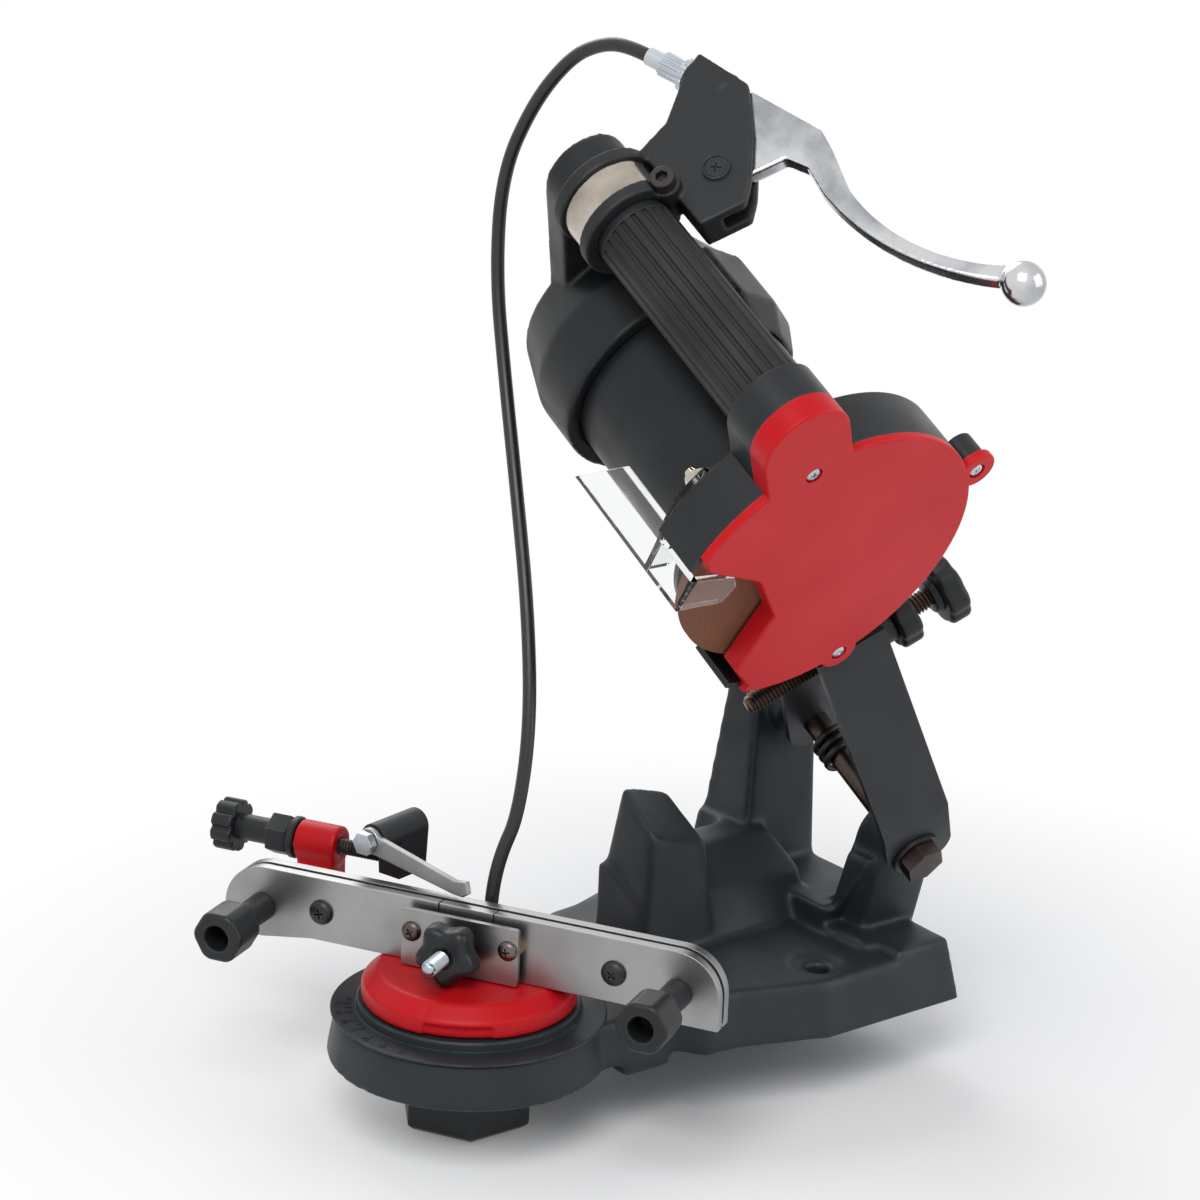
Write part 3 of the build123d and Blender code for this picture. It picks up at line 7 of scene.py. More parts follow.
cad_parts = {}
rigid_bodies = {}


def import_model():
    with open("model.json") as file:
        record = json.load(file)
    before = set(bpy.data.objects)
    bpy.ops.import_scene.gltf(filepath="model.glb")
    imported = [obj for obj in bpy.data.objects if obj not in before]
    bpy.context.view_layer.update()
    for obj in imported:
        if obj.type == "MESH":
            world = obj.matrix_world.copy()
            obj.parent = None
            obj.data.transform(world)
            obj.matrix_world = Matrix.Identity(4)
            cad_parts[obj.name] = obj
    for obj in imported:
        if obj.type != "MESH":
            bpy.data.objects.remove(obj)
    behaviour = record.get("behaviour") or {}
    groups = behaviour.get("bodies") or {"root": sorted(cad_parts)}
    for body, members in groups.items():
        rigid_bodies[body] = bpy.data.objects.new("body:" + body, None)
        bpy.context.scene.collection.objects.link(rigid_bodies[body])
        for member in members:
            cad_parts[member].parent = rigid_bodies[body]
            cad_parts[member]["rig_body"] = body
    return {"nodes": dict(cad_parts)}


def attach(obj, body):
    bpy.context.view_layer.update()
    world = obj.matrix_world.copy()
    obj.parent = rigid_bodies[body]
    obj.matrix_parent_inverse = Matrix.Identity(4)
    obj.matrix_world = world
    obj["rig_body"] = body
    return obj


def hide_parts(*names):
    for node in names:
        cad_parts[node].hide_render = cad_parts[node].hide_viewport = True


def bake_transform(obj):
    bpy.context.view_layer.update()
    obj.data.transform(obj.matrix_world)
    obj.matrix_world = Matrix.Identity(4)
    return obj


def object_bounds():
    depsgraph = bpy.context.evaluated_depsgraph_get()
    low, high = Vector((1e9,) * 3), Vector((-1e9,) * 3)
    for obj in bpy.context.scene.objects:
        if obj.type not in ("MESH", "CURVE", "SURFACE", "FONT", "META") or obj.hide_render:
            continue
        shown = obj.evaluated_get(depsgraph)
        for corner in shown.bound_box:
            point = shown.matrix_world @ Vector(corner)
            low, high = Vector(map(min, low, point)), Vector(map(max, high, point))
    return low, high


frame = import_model()
cad_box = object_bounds()

MM = 0.001
TURN = 2 * math.pi
ROUND_SIDES = 48
Z_AXIS = Vector((0, 0, 1))


# ---------------------------------------------------------------- frames, in millimetres
def place(origin, x_dir, z_dir):
    """A frame as a matrix: its x, y and z axes and its origin."""
    z = Vector(z_dir).normalized()
    x = Vector(x_dir)
    x = (x - z * x.dot(z)).normalized()
    y = z.cross(x)
    matrix = Matrix((x, y, z)).transposed().to_4x4()
    matrix.translation = Vector(origin)
    return matrix


def shifted(home, x, y, z=0, turn=0):
    """A frame moved along its own axes, then turned about its z, in degrees."""
    return home @ Matrix.Translation((x, y, z)) @ Matrix.Rotation(math.radians(turn), 4, "Z")


vise_x = -128
rail_turn = 29
head_lean = 30
chain_height = 58
wheel_place = (75, 166)
grip_place = (37, 229)
swing_bolt_place = (172, 24)
arm_turn = 122
lever_turn = 40
clamp_at = 108
stop_rod_place = (56.9, -30, 0)
depth_rod_place = (72, 11, -16.5)

rail_angle = math.radians(rail_turn)
lean = math.radians(head_lean)
ALONG_RAIL = Vector((math.sin(rail_angle), -math.cos(rail_angle), 0))
RAIL_FRONT = Vector((-math.cos(rail_angle), -math.sin(rail_angle), 0))
SWING = Vector((0, -math.cos(lean), -math.sin(lean)))
HERE = Matrix.Identity(4)
TABLE = place((vise_x, 0, 0), (1, 0, 0), Z_AXIS)
RAIL = place((vise_x, 0, 0), ALONG_RAIL, RAIL_FRONT)
HEAD = place((vise_x, 0, chain_height), (1, 0, 0), SWING)
WHEEL = shifted(HEAD, *wheel_place)
GRIP = shifted(HEAD, *grip_place)
ARM = shifted(HEAD, *swing_bolt_place, 0, arm_turn)
lever_angle = math.radians(lever_turn)
away_from_grip = HEAD.to_3x3() @ Vector((math.cos(lever_angle), math.sin(lever_angle), 0))
LEVER = place(GRIP @ Vector((0, 0, -clamp_at)), SWING, SWING.cross(away_from_grip))
STOP_ROD = place((vise_x, 0, 0), Z_AXIS, ALONG_RAIL) @ Matrix.Translation(stop_rod_place)
arm_x, arm_y, arm_z = (ARM.to_3x3().col[axis] for axis in range(3))
DEPTH = place(place(ARM.translation, arm_x, arm_y) @ Vector(depth_rod_place), arm_x, -arm_y)
ARM_BACK = place(ARM.translation, arm_x, -arm_z)


# ---------------------------------------------------------------- effects shared by materials
def effect(name, inputs, outputs):
    """An empty node group with its inputs and outputs."""
    tree = bpy.data.node_groups.new(name, "ShaderNodeTree")
    for label, value in inputs:
        socket = tree.interface.new_socket(label, in_out="INPUT", socket_type="NodeSocketFloat")
        socket.default_value = value
    for label in outputs:
        tree.interface.new_socket(label, in_out="OUTPUT", socket_type="NodeSocketFloat")
    return tree, tree.nodes.new("NodeGroupInput"), tree.nodes.new("NodeGroupOutput")


def noise(tree, scale, detail, vector):
    """Cloudy values from 0 to 1; the scale is a number or another node's output."""
    node = tree.nodes.new("ShaderNodeTexNoise")
    node.inputs["Detail"].default_value = detail
    if isinstance(scale, (int, float)):
        node.inputs["Scale"].default_value = scale
    else:
        tree.links.new(scale, node.inputs["Scale"])
    tree.links.new(vector, node.inputs["Vector"])
    return node.outputs["Fac"]


def remap(tree, value, low, high, to_low=0.0, to_high=1.0):
    """A value's range stretched to another one, and held within it."""
    node = tree.nodes.new("ShaderNodeMapRange")
    node.inputs["From Min"].default_value = low
    node.inputs["From Max"].default_value = high
    node.inputs["To Min"].default_value = to_low
    node.inputs["To Max"].default_value = to_high
    tree.links.new(value, node.inputs["Value"])
    return node.outputs["Result"]


def arithmetic(tree, operation, first, second):
    """Two values, each a number or another node's output, put together."""
    node = tree.nodes.new("ShaderNodeMath")
    node.operation = operation
    for socket, value in zip(node.inputs, (first, second)):
        if isinstance(value, (int, float)):
            socket.default_value = value
        else:
            tree.links.new(value, socket)
    return node.outputs["Value"]


def make_grain():
    """Fine skin of a moulding or a coat of paint, with slow shifts in tone."""
    tree, start, end = effect(
        "skin grain", [("Scale", 900.0), ("Patches", 45.0)], ["Height", "Tone"]
    )
    where = tree.nodes.new("ShaderNodeTexCoord").outputs["Object"]
    fine = noise(tree, start.outputs["Scale"], 3.0, where)
    slow = noise(tree, start.outputs["Patches"], 2.0, where)
    tree.links.new(fine, end.inputs["Height"])
    tree.links.new(remap(tree, slow, 0.35, 0.65), end.inputs["Tone"])
    return tree


def make_edges():
    """Where handling has rubbed the edges."""
    tree, start, end = effect("rubbed edges", [("Radius", 0.0012), ("Break up", 160.0)], ["Mask"])
    where = tree.nodes.new("ShaderNodeTexCoord").outputs["Object"]
    bevel = tree.nodes.new("ShaderNodeBevel")
    bevel.samples = 4
    tree.links.new(start.outputs["Radius"], bevel.inputs["Radius"])
    flat = tree.nodes.new("ShaderNodeNewGeometry").outputs["Normal"]
    dot = tree.nodes.new("ShaderNodeVectorMath")
    dot.operation = "DOT_PRODUCT"
    tree.links.new(bevel.outputs["Normal"], dot.inputs[0])
    tree.links.new(flat, dot.inputs[1])
    rounded = remap(tree, dot.outputs["Value"], 1.0, 0.86)
    patchy = remap(tree, noise(tree, start.outputs["Break up"], 3.0, where), 0.4, 0.62)
    tree.links.new(arithmetic(tree, "MULTIPLY", rounded, patchy), end.inputs["Mask"])
    return tree


def make_brushing():
    """Fine scratches that run along one way, and the smudges over them."""
    tree, start, end = effect(
        "brushing",
        [("Along x", 1.0), ("Along y", 1.0), ("Along z", 1.0), ("Scale", 700.0), ("Smudges", 38.0)],
        ["Height", "Tone", "Smudge"],
    )
    where = tree.nodes.new("ShaderNodeTexCoord").outputs["Object"]
    turned = tree.nodes.new("ShaderNodeMapping")
    turned.inputs["Rotation"].default_value = (0, 0, math.pi / 2 - rail_angle)
    tree.links.new(where, turned.inputs["Vector"])
    pull = tree.nodes.new("ShaderNodeCombineXYZ")
    for axis, label in zip("XYZ", ("Along x", "Along y", "Along z")):
        tree.links.new(start.outputs[label], pull.inputs[axis])
    stretch = tree.nodes.new("ShaderNodeVectorMath")
    stretch.operation = "MULTIPLY"
    tree.links.new(turned.outputs["Vector"], stretch.inputs[0])
    tree.links.new(pull.outputs["Vector"], stretch.inputs[1])
    lines = noise(tree, start.outputs["Scale"], 4.0, stretch.outputs["Vector"])
    tree.links.new(lines, end.inputs["Height"])
    tree.links.new(remap(tree, lines, 0.3, 0.7), end.inputs["Tone"])
    blotches = noise(tree, start.outputs["Smudges"], 4.0, where)
    tree.links.new(remap(tree, blotches, 0.42, 0.66), end.inputs["Smudge"])
    return tree


GRAIN = make_grain()
EDGES = make_edges()
BRUSHING = make_brushing()


# ---------------------------------------------------------------- materials
def blank(name, **values):
    """A material with one Principled shader, its even values set on the shader itself."""
    material = bpy.data.materials.new(name)
    material.use_nodes = True
    tree = material.node_tree
    shader = tree.nodes["Principled BSDF"]
    for label, value in values.items():
        shader.inputs[label.replace("_", " ")].default_value = value
    return material, tree, shader


def with_effect(tree, group, **values):
    """A shared effect placed in a material with the material's own values."""
    node = tree.nodes.new("ShaderNodeGroup")
    node.node_tree = group
    for label, value in values.items():
        node.inputs[label.replace("_", " ")].default_value = value
    return node


def blended(tree, factor, first, second):
    """Two colours mixed by a mask."""
    node = tree.nodes.new("ShaderNodeMix")
    node.data_type = "RGBA"
    tree.links.new(factor, node.inputs["Factor"])
    for socket, value in ((node.inputs["A"], first), (node.inputs["B"], second)):
        if isinstance(value, tuple):
            socket.default_value = (*value, 1)
        else:
            tree.links.new(value, socket)
    return node.outputs["Result"]


def bumped(tree, shader, height, strength, depth):
    """Fine relief on the shader, its depth in metres."""
    node = tree.nodes.new("ShaderNodeBump")
    node.inputs["Strength"].default_value = strength
    node.inputs["Distance"].default_value = depth
    tree.links.new(height, node.inputs["Height"])
    tree.links.new(node.outputs["Normal"], shader.inputs["Normal"])


def coated(name, colour, other, rubbed, rough, shine, scale, patches=45.0, depth=0.00006,
           edge=0.0012, specular=0.5, metallic=0.0):
    """Plastic or paint: a grained skin in two close tones, paler where its edges are rubbed."""
    material, tree, shader = blank(name, Specular_IOR_Level=specular, Metallic=metallic)
    grain = with_effect(tree, GRAIN, Scale=scale, Patches=patches)
    worn = with_effect(tree, EDGES, Radius=edge)
    tone = blended(tree, grain.outputs["Tone"], colour, other)
    tree.links.new(blended(tree, worn.outputs["Mask"], tone, rubbed), shader.inputs["Base Color"])
    gloss = remap(tree, grain.outputs["Tone"], 0.0, 1.0, rough, shine)
    tree.links.new(gloss, shader.inputs["Roughness"])
    bumped(tree, shader, grain.outputs["Height"], 0.5, depth)
    return material


def metal(name, colour, other, rough, dull, pull=(1.0, 1.0, 1.0), scale=700.0, depth=0.00001,
          smudges=38.0):
    """Bare or plated metal with its working marks and smudges."""
    material, tree, shader = blank(name, Metallic=1.0)
    marks = with_effect(tree, BRUSHING, Along_x=pull[0], Along_y=pull[1], Along_z=pull[2], Scale=scale,
                        Smudges=smudges)
    tree.links.new(blended(tree, marks.outputs["Smudge"], colour, other), shader.inputs["Base Color"])
    mixed = arithmetic(tree, "MULTIPLY", marks.outputs["Tone"], 0.5)
    mixed = arithmetic(tree, "ADD", mixed, arithmetic(tree, "MULTIPLY", marks.outputs["Smudge"], 0.5))
    tree.links.new(remap(tree, mixed, 0.0, 1.0, rough, dull), shader.inputs["Roughness"])
    bumped(tree, shader, marks.outputs["Height"], 0.4, depth)
    return material


def make_abrasive():
    """Bonded grit: brown grains of several sizes with small pores."""
    material, tree, shader = blank("bonded grit", Specular_IOR_Level=0.25)
    where = tree.nodes.new("ShaderNodeTexCoord").outputs["Object"]
    grit = tree.nodes.new("ShaderNodeTexVoronoi")
    grit.inputs["Scale"].default_value = 2600.0
    tree.links.new(where, grit.inputs["Vector"])
    coarse = noise(tree, 1900.0, 3.0, where)
    body = blended(tree, remap(tree, coarse, 0.3, 0.7), (0.185, 0.075, 0.044), (0.235, 0.1, 0.06))
    pores = remap(tree, grit.outputs["Distance"], 0.55, 0.85)
    tree.links.new(blended(tree, pores, body, (0.14, 0.056, 0.034)), shader.inputs["Base Color"])
    shader.inputs["Roughness"].default_value = 0.9
    bumped(tree, shader, coarse, 0.5, 0.0001)
    return material


def make_clear():
    """Clear sheet with a faint haze of fine scratches."""
    material, tree, shader = blank(
        "clear sheet", Base_Color=(0.93, 0.945, 0.95, 1), IOR=1.3, Transmission_Weight=1.0
    )
    marks = with_effect(tree, BRUSHING, Along_x=0.2, Scale=900.0)
    tree.links.new(remap(tree, marks.outputs["Smudge"], 0.0, 1.0, 0.02, 0.09), shader.inputs["Roughness"])
    return material


cast_grey = coated("cast grey paint", (0.0165, 0.0225, 0.0275), (0.0125, 0.0175, 0.022),
                   (0.055, 0.063, 0.07), 0.42, 0.54, scale=650.0, depth=0.00008, specular=0.32)
arm_grey = coated("arm grey paint", (0.019, 0.0225, 0.026), (0.015, 0.018, 0.0215), (0.07, 0.075, 0.08),
                  0.36, 0.46, scale=800.0, depth=0.00004, specular=0.34)
black_plastic = coated("black plastic", (0.0125, 0.0145, 0.0165), (0.009, 0.011, 0.0125),
                       (0.05, 0.054, 0.058), 0.36, 0.46, scale=1100.0, specular=0.32)
motor_plastic = coated("motor plastic", (0.0095, 0.0115, 0.0135), (0.007, 0.0085, 0.01),
                       (0.035, 0.039, 0.044), 0.34, 0.46, scale=1000.0, edge=0.0016, specular=0.3)
perch_black = coated("perch black", (0.0145, 0.016, 0.0175), (0.0115, 0.013, 0.014), (0.055, 0.059, 0.063),
                     0.46, 0.56, scale=1200.0, specular=0.3)
red_plastic = coated("red plastic", (0.57, 0.006, 0.011), (0.52, 0.005, 0.009), (0.66, 0.022, 0.026),
                     0.38, 0.44, scale=900.0, patches=20.0, depth=0.00004, specular=0.22)
grip_rubber = coated("grip rubber", (0.0105, 0.011, 0.012), (0.0075, 0.008, 0.009), (0.026, 0.027, 0.029),
                     0.55, 0.68, scale=1500.0, depth=0.00008, edge=0.0006, specular=0.4)
cable_jacket = coated("cable jacket", (0.011, 0.0112, 0.012), (0.014, 0.0143, 0.0152), (0.026, 0.026, 0.027),
                      0.32, 0.42, scale=1400.0, edge=0.0004)
blackened = coated("blackened steel", (0.025, 0.024, 0.024), (0.036, 0.032, 0.029), (0.14, 0.13, 0.12),
                   0.34, 0.5, scale=1300.0, edge=0.0005, metallic=0.5)
thread_brown = metal("oiled thread steel", (0.13, 0.085, 0.066), (0.07, 0.052, 0.045), 0.3, 0.46,
                     scale=900.0, depth=0.00002)
bolt_brown = metal("browned bolt steel", (0.085, 0.062, 0.052), (0.05, 0.04, 0.036), 0.32, 0.46, scale=900.0)
screw_brown = metal("browned screw steel", (0.2, 0.17, 0.155), (0.1, 0.085, 0.08), 0.25, 0.4, scale=1100.0)
rail_steel = metal("ground rail steel", (0.36, 0.36, 0.365), (0.27, 0.273, 0.28), 0.3, 0.42,
                   pull=(0.03, 1.0, 1.0), scale=2000.0, depth=0.000001, smudges=26.0)
plate_steel = metal("plate steel", (0.37, 0.365, 0.36), (0.29, 0.287, 0.284), 0.28, 0.4,
                    pull=(0.1, 1.0, 1.0), scale=900.0, depth=0.000001)
zinc = metal("zinc plate", (0.56, 0.6, 0.64), (0.4, 0.44, 0.49), 0.22, 0.38, scale=1100.0)
cast_zinc = metal("cast zinc", (0.4, 0.4, 0.4), (0.26, 0.26, 0.265), 0.36, 0.52, scale=500.0,
                  depth=0.00004)
polished = metal("polished alloy", (0.62, 0.63, 0.645), (0.34, 0.355, 0.375), 0.12, 0.24, scale=900.0,
                 smudges=60.0)
nickel = metal("nickel plate", (0.5, 0.45, 0.39), (0.23, 0.2, 0.17), 0.1, 0.2, pull=(1.0, 1.0, 0.05),
               smudges=48.0)
brass = metal("brass", (0.5, 0.34, 0.13), (0.36, 0.24, 0.1), 0.24, 0.38, scale=900.0)
motor_steel = metal("motor steel", (0.22, 0.22, 0.225), (0.16, 0.16, 0.165), 0.4, 0.55)
abrasive = make_abrasive()
clear_sheet = make_clear()


# ---------------------------------------------------------------- making pieces
BODY_OF = {node: item["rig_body"] for node, item in frame["nodes"].items()}


def settle(bm, name, body, material, node, smooth_under):
    """A finished mesh becomes a piece that rides on its body and stands for its node."""
    mesh = bpy.data.meshes.new(name)
    bm.normal_update()
    bm.to_mesh(mesh)
    bm.free()
    piece = bpy.data.objects.new(name, mesh)
    bpy.context.scene.collection.objects.link(piece)
    mesh.materials.append(material)
    mesh.shade_smooth()
    mesh.set_sharp_from_angle(angle=math.radians(smooth_under))
    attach(piece, body)
    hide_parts(node)
    shading = piece.modifiers.new("even shading", "WEIGHTED_NORMAL")
    shading.keep_sharp = True
    shading.weight = 80
    return piece


def to_place(bm, home):
    """From a frame's own millimetres to the row's metres."""
    bmesh.ops.transform(bm, matrix=Matrix.Scale(MM, 4) @ home, verts=bm.verts)
    if home.to_3x3().determinant() < 0:
        bmesh.ops.reverse_faces(bm, faces=bm.faces)


def finish(bm, node, material, smooth_under=35):
    """The form stands for its node, on the node's own body."""
    settle(bm, node + "_finished", BODY_OF[node], material, node, smooth_under)


def welded(node):
    """A copy of a node's mesh with its triangles joined and its flat faces whole."""
    bm = bmesh.new()
    bm.from_mesh(frame["nodes"][node].data)
    bmesh.ops.remove_doubles(bm, verts=bm.verts, dist=4e-6)
    bmesh.ops.dissolve_limit(
        bm, angle_limit=math.radians(1.0), use_dissolve_boundaries=False, verts=bm.verts,
        edges=bm.edges,
    )
    return bm


def rounded(node, material, width, segments=2, sharp=38, smooth_under=35):
    """The node with its sharp edges broken."""
    bm = welded(node)
    edges = [e for e in bm.edges if len(e.link_faces) == 2 and e.calc_face_angle(0) > math.radians(sharp)]
    bmesh.ops.bevel(
        bm, geom=edges, offset=width * MM, offset_type="OFFSET", segments=segments, profile=0.5,
        affect="EDGES", clamp_overlap=True, material=-1,
    )
    finish(bm, node, material, smooth_under)


def round_bar(bm, radius, start, end, sides, tip):
    """A bar along z, its ends broken by tip."""
    profile = [(0, start), (radius - tip, start), (radius, start + tip), (radius, end - tip),
               (radius - tip, end), (0, end)]
    turned(bm, profile, sides)


def turned(bm, profile, sides):
    """A closed turned form: the profile, from the axis out and back to it, spun about z."""
    verts = [bm.verts.new((radius, 0, height)) for radius, height in profile]
    edges = [bm.edges.new(pair) for pair in zip(verts, verts[1:])]
    bmesh.ops.spin(
        bm, geom=verts + edges, cent=(0, 0, 0), axis=(0, 0, 1), angle=TURN, steps=sides, use_merge=True,
    )
    bmesh.ops.remove_doubles(bm, verts=bm.verts, dist=1e-4)
    bmesh.ops.recalc_face_normals(bm, faces=bm.faces)


def together(*forms):
    """Several forms as one mesh."""
    bm = bmesh.new()
    for form in forms:
        mesh = bpy.data.meshes.new("form")
        form.to_mesh(mesh)
        form.free()
        bm.from_mesh(mesh)
        bpy.data.meshes.remove(mesh)
    return bm


def merged(forms):
    """Several forms, each at its place in millimetres, as one mesh in the row's metres."""
    for form, home in forms:
        to_place(form, home)
    return together(*(form for form, home in forms))


def held(bm):
    """The form as an object of its own, for as long as a modifier works on it."""
    mesh = bpy.data.meshes.new("form")
    bm.to_mesh(mesh)
    bm.free()
    holder = bpy.data.objects.new("form", mesh)
    bpy.context.scene.collection.objects.link(holder)
    return holder


def dropped(holder):
    """The object and its mesh taken away again."""
    mesh = holder.data
    bpy.data.objects.remove(holder)
    bpy.data.meshes.remove(mesh)


def worked(bm, kind, **values):
    """The form as one modifier, with these settings, leaves it."""
    holder = held(bm)
    step = holder.modifiers.new("step", kind)
    for label, value in values.items():
        setattr(step, label, value)
    made = bpy.data.meshes.new_from_object(holder.evaluated_get(bpy.context.evaluated_depsgraph_get()))
    left = bmesh.new()
    left.from_mesh(made)
    dropped(holder)
    bpy.data.meshes.remove(made)
    return left


def without(bm, cutter):
    """The form with the cutter's form taken out of it."""
    tool = held(cutter)
    left = worked(bm, "BOOLEAN", solver="EXACT", object=tool)
    dropped(tool)
    return left


def softened(bm, grain, rounds):
    """The form as a mould gives it: every corner and root drawn into a soft fillet.
    It is made of small cells of grain millimetres, smoothed, and thinned to a share of its faces."""
    share_kept = 0.5
    soft = worked(bm, "REMESH", mode="VOXEL", voxel_size=grain * MM)
    for step in range(rounds):
        bmesh.ops.smooth_vert(soft, verts=soft.verts, factor=0.5, use_axis_x=True, use_axis_y=True,
                              use_axis_z=True)
    return worked(soft, "DECIMATE", ratio=share_kept)


def moulded(node, material, grain, rounds):
    """The node with soft, flowing corners."""
    finish(softened(welded(node), grain, rounds), node, material, 60)


def broken(bm, edges, width, segments):
    """The edges rounded off, by a width in the form's own units."""
    bmesh.ops.bevel(
        bm, geom=list(edges), offset=width, offset_type="OFFSET", segments=segments, profile=0.5,
        affect="EDGES", clamp_overlap=True, material=-1,
    )


def prism(sides, radius, height, turn=0.0):
    """An upright prism or disc that stands on z = 0."""
    bm = bmesh.new()
    bmesh.ops.create_cone(
        bm, cap_ends=True, segments=sides, radius1=radius, radius2=radius, depth=height,
        matrix=Matrix.Translation((0, 0, height / 2)) @ Matrix.Rotation(math.radians(turn), 4, "Z"),
    )
    return bm


def spun(profile, sides=ROUND_SIDES):
    """A turned form of its own."""
    bm = bmesh.new()
    turned(bm, profile, sides)
    return bm


def cross_point(reach, width, depth):
    """What a cross-head driver takes out of a screw: a plus that narrows as it goes in."""
    bm = bmesh.new()
    bmesh.ops.create_cube(bm, size=width)
    bm.normal_update()
    sides = [face for face in bm.faces if abs(face.normal.z) < 0.5]
    for face in bmesh.ops.extrude_discrete_faces(bm, faces=sides)["faces"]:
        bmesh.ops.translate(bm, verts=face.verts, vec=face.normal * (reach - width / 2))
    for vert in bm.verts:
        if vert.co.z < 0:
            vert.co.x *= 0.5
            vert.co.y *= 0.5
        vert.co.z *= 2 * depth / width
    bmesh.ops.recalc_face_normals(bm, faces=bm.faces)
    return bm


def pan_screw(head, height, shank, length, reach, turn):
    """A cross-head screw: its low domed head sits on z = 0 and its shank goes below."""
    profile = [(0, height), (0.4 * head, 0.97 * height), (0.68 * head, 0.84 * height),
               (0.88 * head, 0.6 * height), (0.98 * head, 0.3 * height), (head, 0.08 * height), (head, 0),
               (shank, 0), (shank, 0.4 - length), (shank - 0.4, -length), (0, -length)]
    screw = spun(profile)
    driver = cross_point(reach, 0.42 * reach, 0.62 * height)
    home = Matrix.Translation((0, 0, height)) @ Matrix.Rotation(math.radians(turn), 4, "Z")
    bmesh.ops.transform(driver, matrix=home, verts=driver.verts)
    return without(screw, driver)


def nut(across_flats, height, bevel=0.7):
    """A hexagonal nut on z = 0, its corners turned off."""
    radius = across_flats / math.sqrt(3)
    bm = prism(6, radius, height, 30)
    rims = [edge for edge in bm.edges if abs(edge.verts[0].co.z - edge.verts[1].co.z) < 0.01]
    broken(bm, rims, bevel, 2)
    return bm


def lobed_knob(radius, height, lobes, bite, rim, pinch, start=0.0, dish=0.0):
    """A hand knob: a disc drawn in between its lobes, with round rims and a dished face."""
    bm = prism(lobes * 12, radius, height)
    for vert in bm.verts:
        turn = math.atan2(vert.co.y, vert.co.x) - math.radians(start)
        share = 1 - bite / radius * (0.5 + 0.5 * math.cos(lobes * turn)) ** pinch
        vert.co.x *= share
        vert.co.y *= share
    bm.normal_update()
    rims = {edge for face in bm.faces if abs(face.normal.z) > 0.9 for edge in face.edges}
    broken(bm, rims, rim, 4)
    if dish:
        bm.normal_update()
        top = max((face for face in bm.faces if face.normal.z > 0.9), key=lambda face: face.calc_area())
        bmesh.ops.inset_region(bm, faces=[top], thickness=0.12 * radius, depth=0)
        bmesh.ops.inset_region(bm, faces=[top], thickness=0.8, depth=-dish)
    return bm


def thread(node, home, radius, pitch, start, end, material, tip):
    """A threaded rod: a helical ridge round a core, between bevelled tips."""
    bm = bmesh.new()
    core = radius - 0.6 * pitch
    steps = 24
    turns = int((end - start - tip) / pitch)
    low = start + (end - start - turns * pitch) / 2
    profile = [(core, 0), (radius, 0.42), (radius, 0.58), (core, 1)]
    verts = [bm.verts.new((r, 0, low + share * pitch)) for r, share in profile]
    edges = [bm.edges.new(pair) for pair in zip(verts, verts[1:])]
    bmesh.ops.spin(
        bm, geom=verts + edges, cent=(0, 0, 0), axis=(0, 0, 1), dvec=(0, 0, pitch / steps),
        angle=TURN * (turns - 1), steps=steps * (turns - 1), use_merge=False,
    )
    bmesh.ops.remove_doubles(bm, verts=bm.verts, dist=1e-3)
    rod = bmesh.new()
    round_bar(rod, core + 0.06, start, end, steps, min(tip, core * 0.4))
    bm = together(bm, rod)
    bmesh.ops.recalc_face_normals(bm, faces=bm.faces)
    to_place(bm, home)
    finish(bm, node, material, 50)


# ---------------------------------------------------------------- camera
camera_azimuth = -38.61
camera_elevation = 17.31
camera_roll = 2.39
camera_lens = 100.35
camera_aim = (-0.03326, 0.05226, 0.14314)
camera_distance = 1.27173


def add_camera():
    """The camera looks at its aim from its distance, with its roll about that line."""
    azimuth = math.radians(camera_azimuth)
    elevation = math.radians(camera_elevation)
    roll = math.radians(camera_roll)
    back = Vector((math.sin(azimuth) * math.cos(elevation), -math.cos(azimuth) * math.cos(elevation),
                   math.sin(elevation)))
    level = Vector((math.cos(azimuth), math.sin(azimuth), 0))
    upright = back.cross(level)
    right = level * math.cos(roll) + upright * math.sin(roll)
    up = upright * math.cos(roll) - level * math.sin(roll)
    data = bpy.data.cameras.new("camera")
    data.sensor_fit = "HORIZONTAL"
    data.sensor_width = 36
    data.lens = camera_lens
    data.clip_start = 0.05
    data.clip_end = 20
    camera = bpy.data.objects.new("camera", data)
    bpy.context.scene.collection.objects.link(camera)
    look = Matrix((right, up, back)).transposed().to_4x4()
    look.translation = Vector(camera_aim) + back * camera_distance
    camera.matrix_world = look
    bpy.context.scene.camera = camera


add_camera()

# ---------------------------------------------------------------- cable
cable_radius = 2.5
anchor_rise = 17
FERRULE = Vector((-58.5951, 5.7527, 357.1456))
ADJUSTER_WAY = Vector((-0.2620026, 0.9237205, 0.2794519))
ANCHOR = Vector((-117.7998, 2.2244, 50))
route = [
    FERRULE,
    FERRULE + ADJUSTER_WAY * 10,
    Vector((-63.8, 26.7, 359)),
    Vector((-66.2, 40.5, 352.5)),
    Vector((-70, 56.5, 334)),
    Vector((-73.5, 69, 307)),
    Vector((-75.2, 68.5, 270)),
    Vector((-78.5, 56.5, 234)),
    Vector((-86, 37, 196)),
    Vector((-95.5, 15.5, 159)),
    Vector((-104, 0.5, 122)),
    Vector((-111.5, -4, 90)),
    ANCHOR + Z_AXIS * anchor_rise,
    ANCHOR,
]
# The route is cut at a parting into a long upper length, from the ferrule, and a short lower length, to the
# anchor.
parting = (2 * route[11] + route[12]) / 3
upper_route = [*route[:12], parting]
lower_route = [parting, *route[12:]]


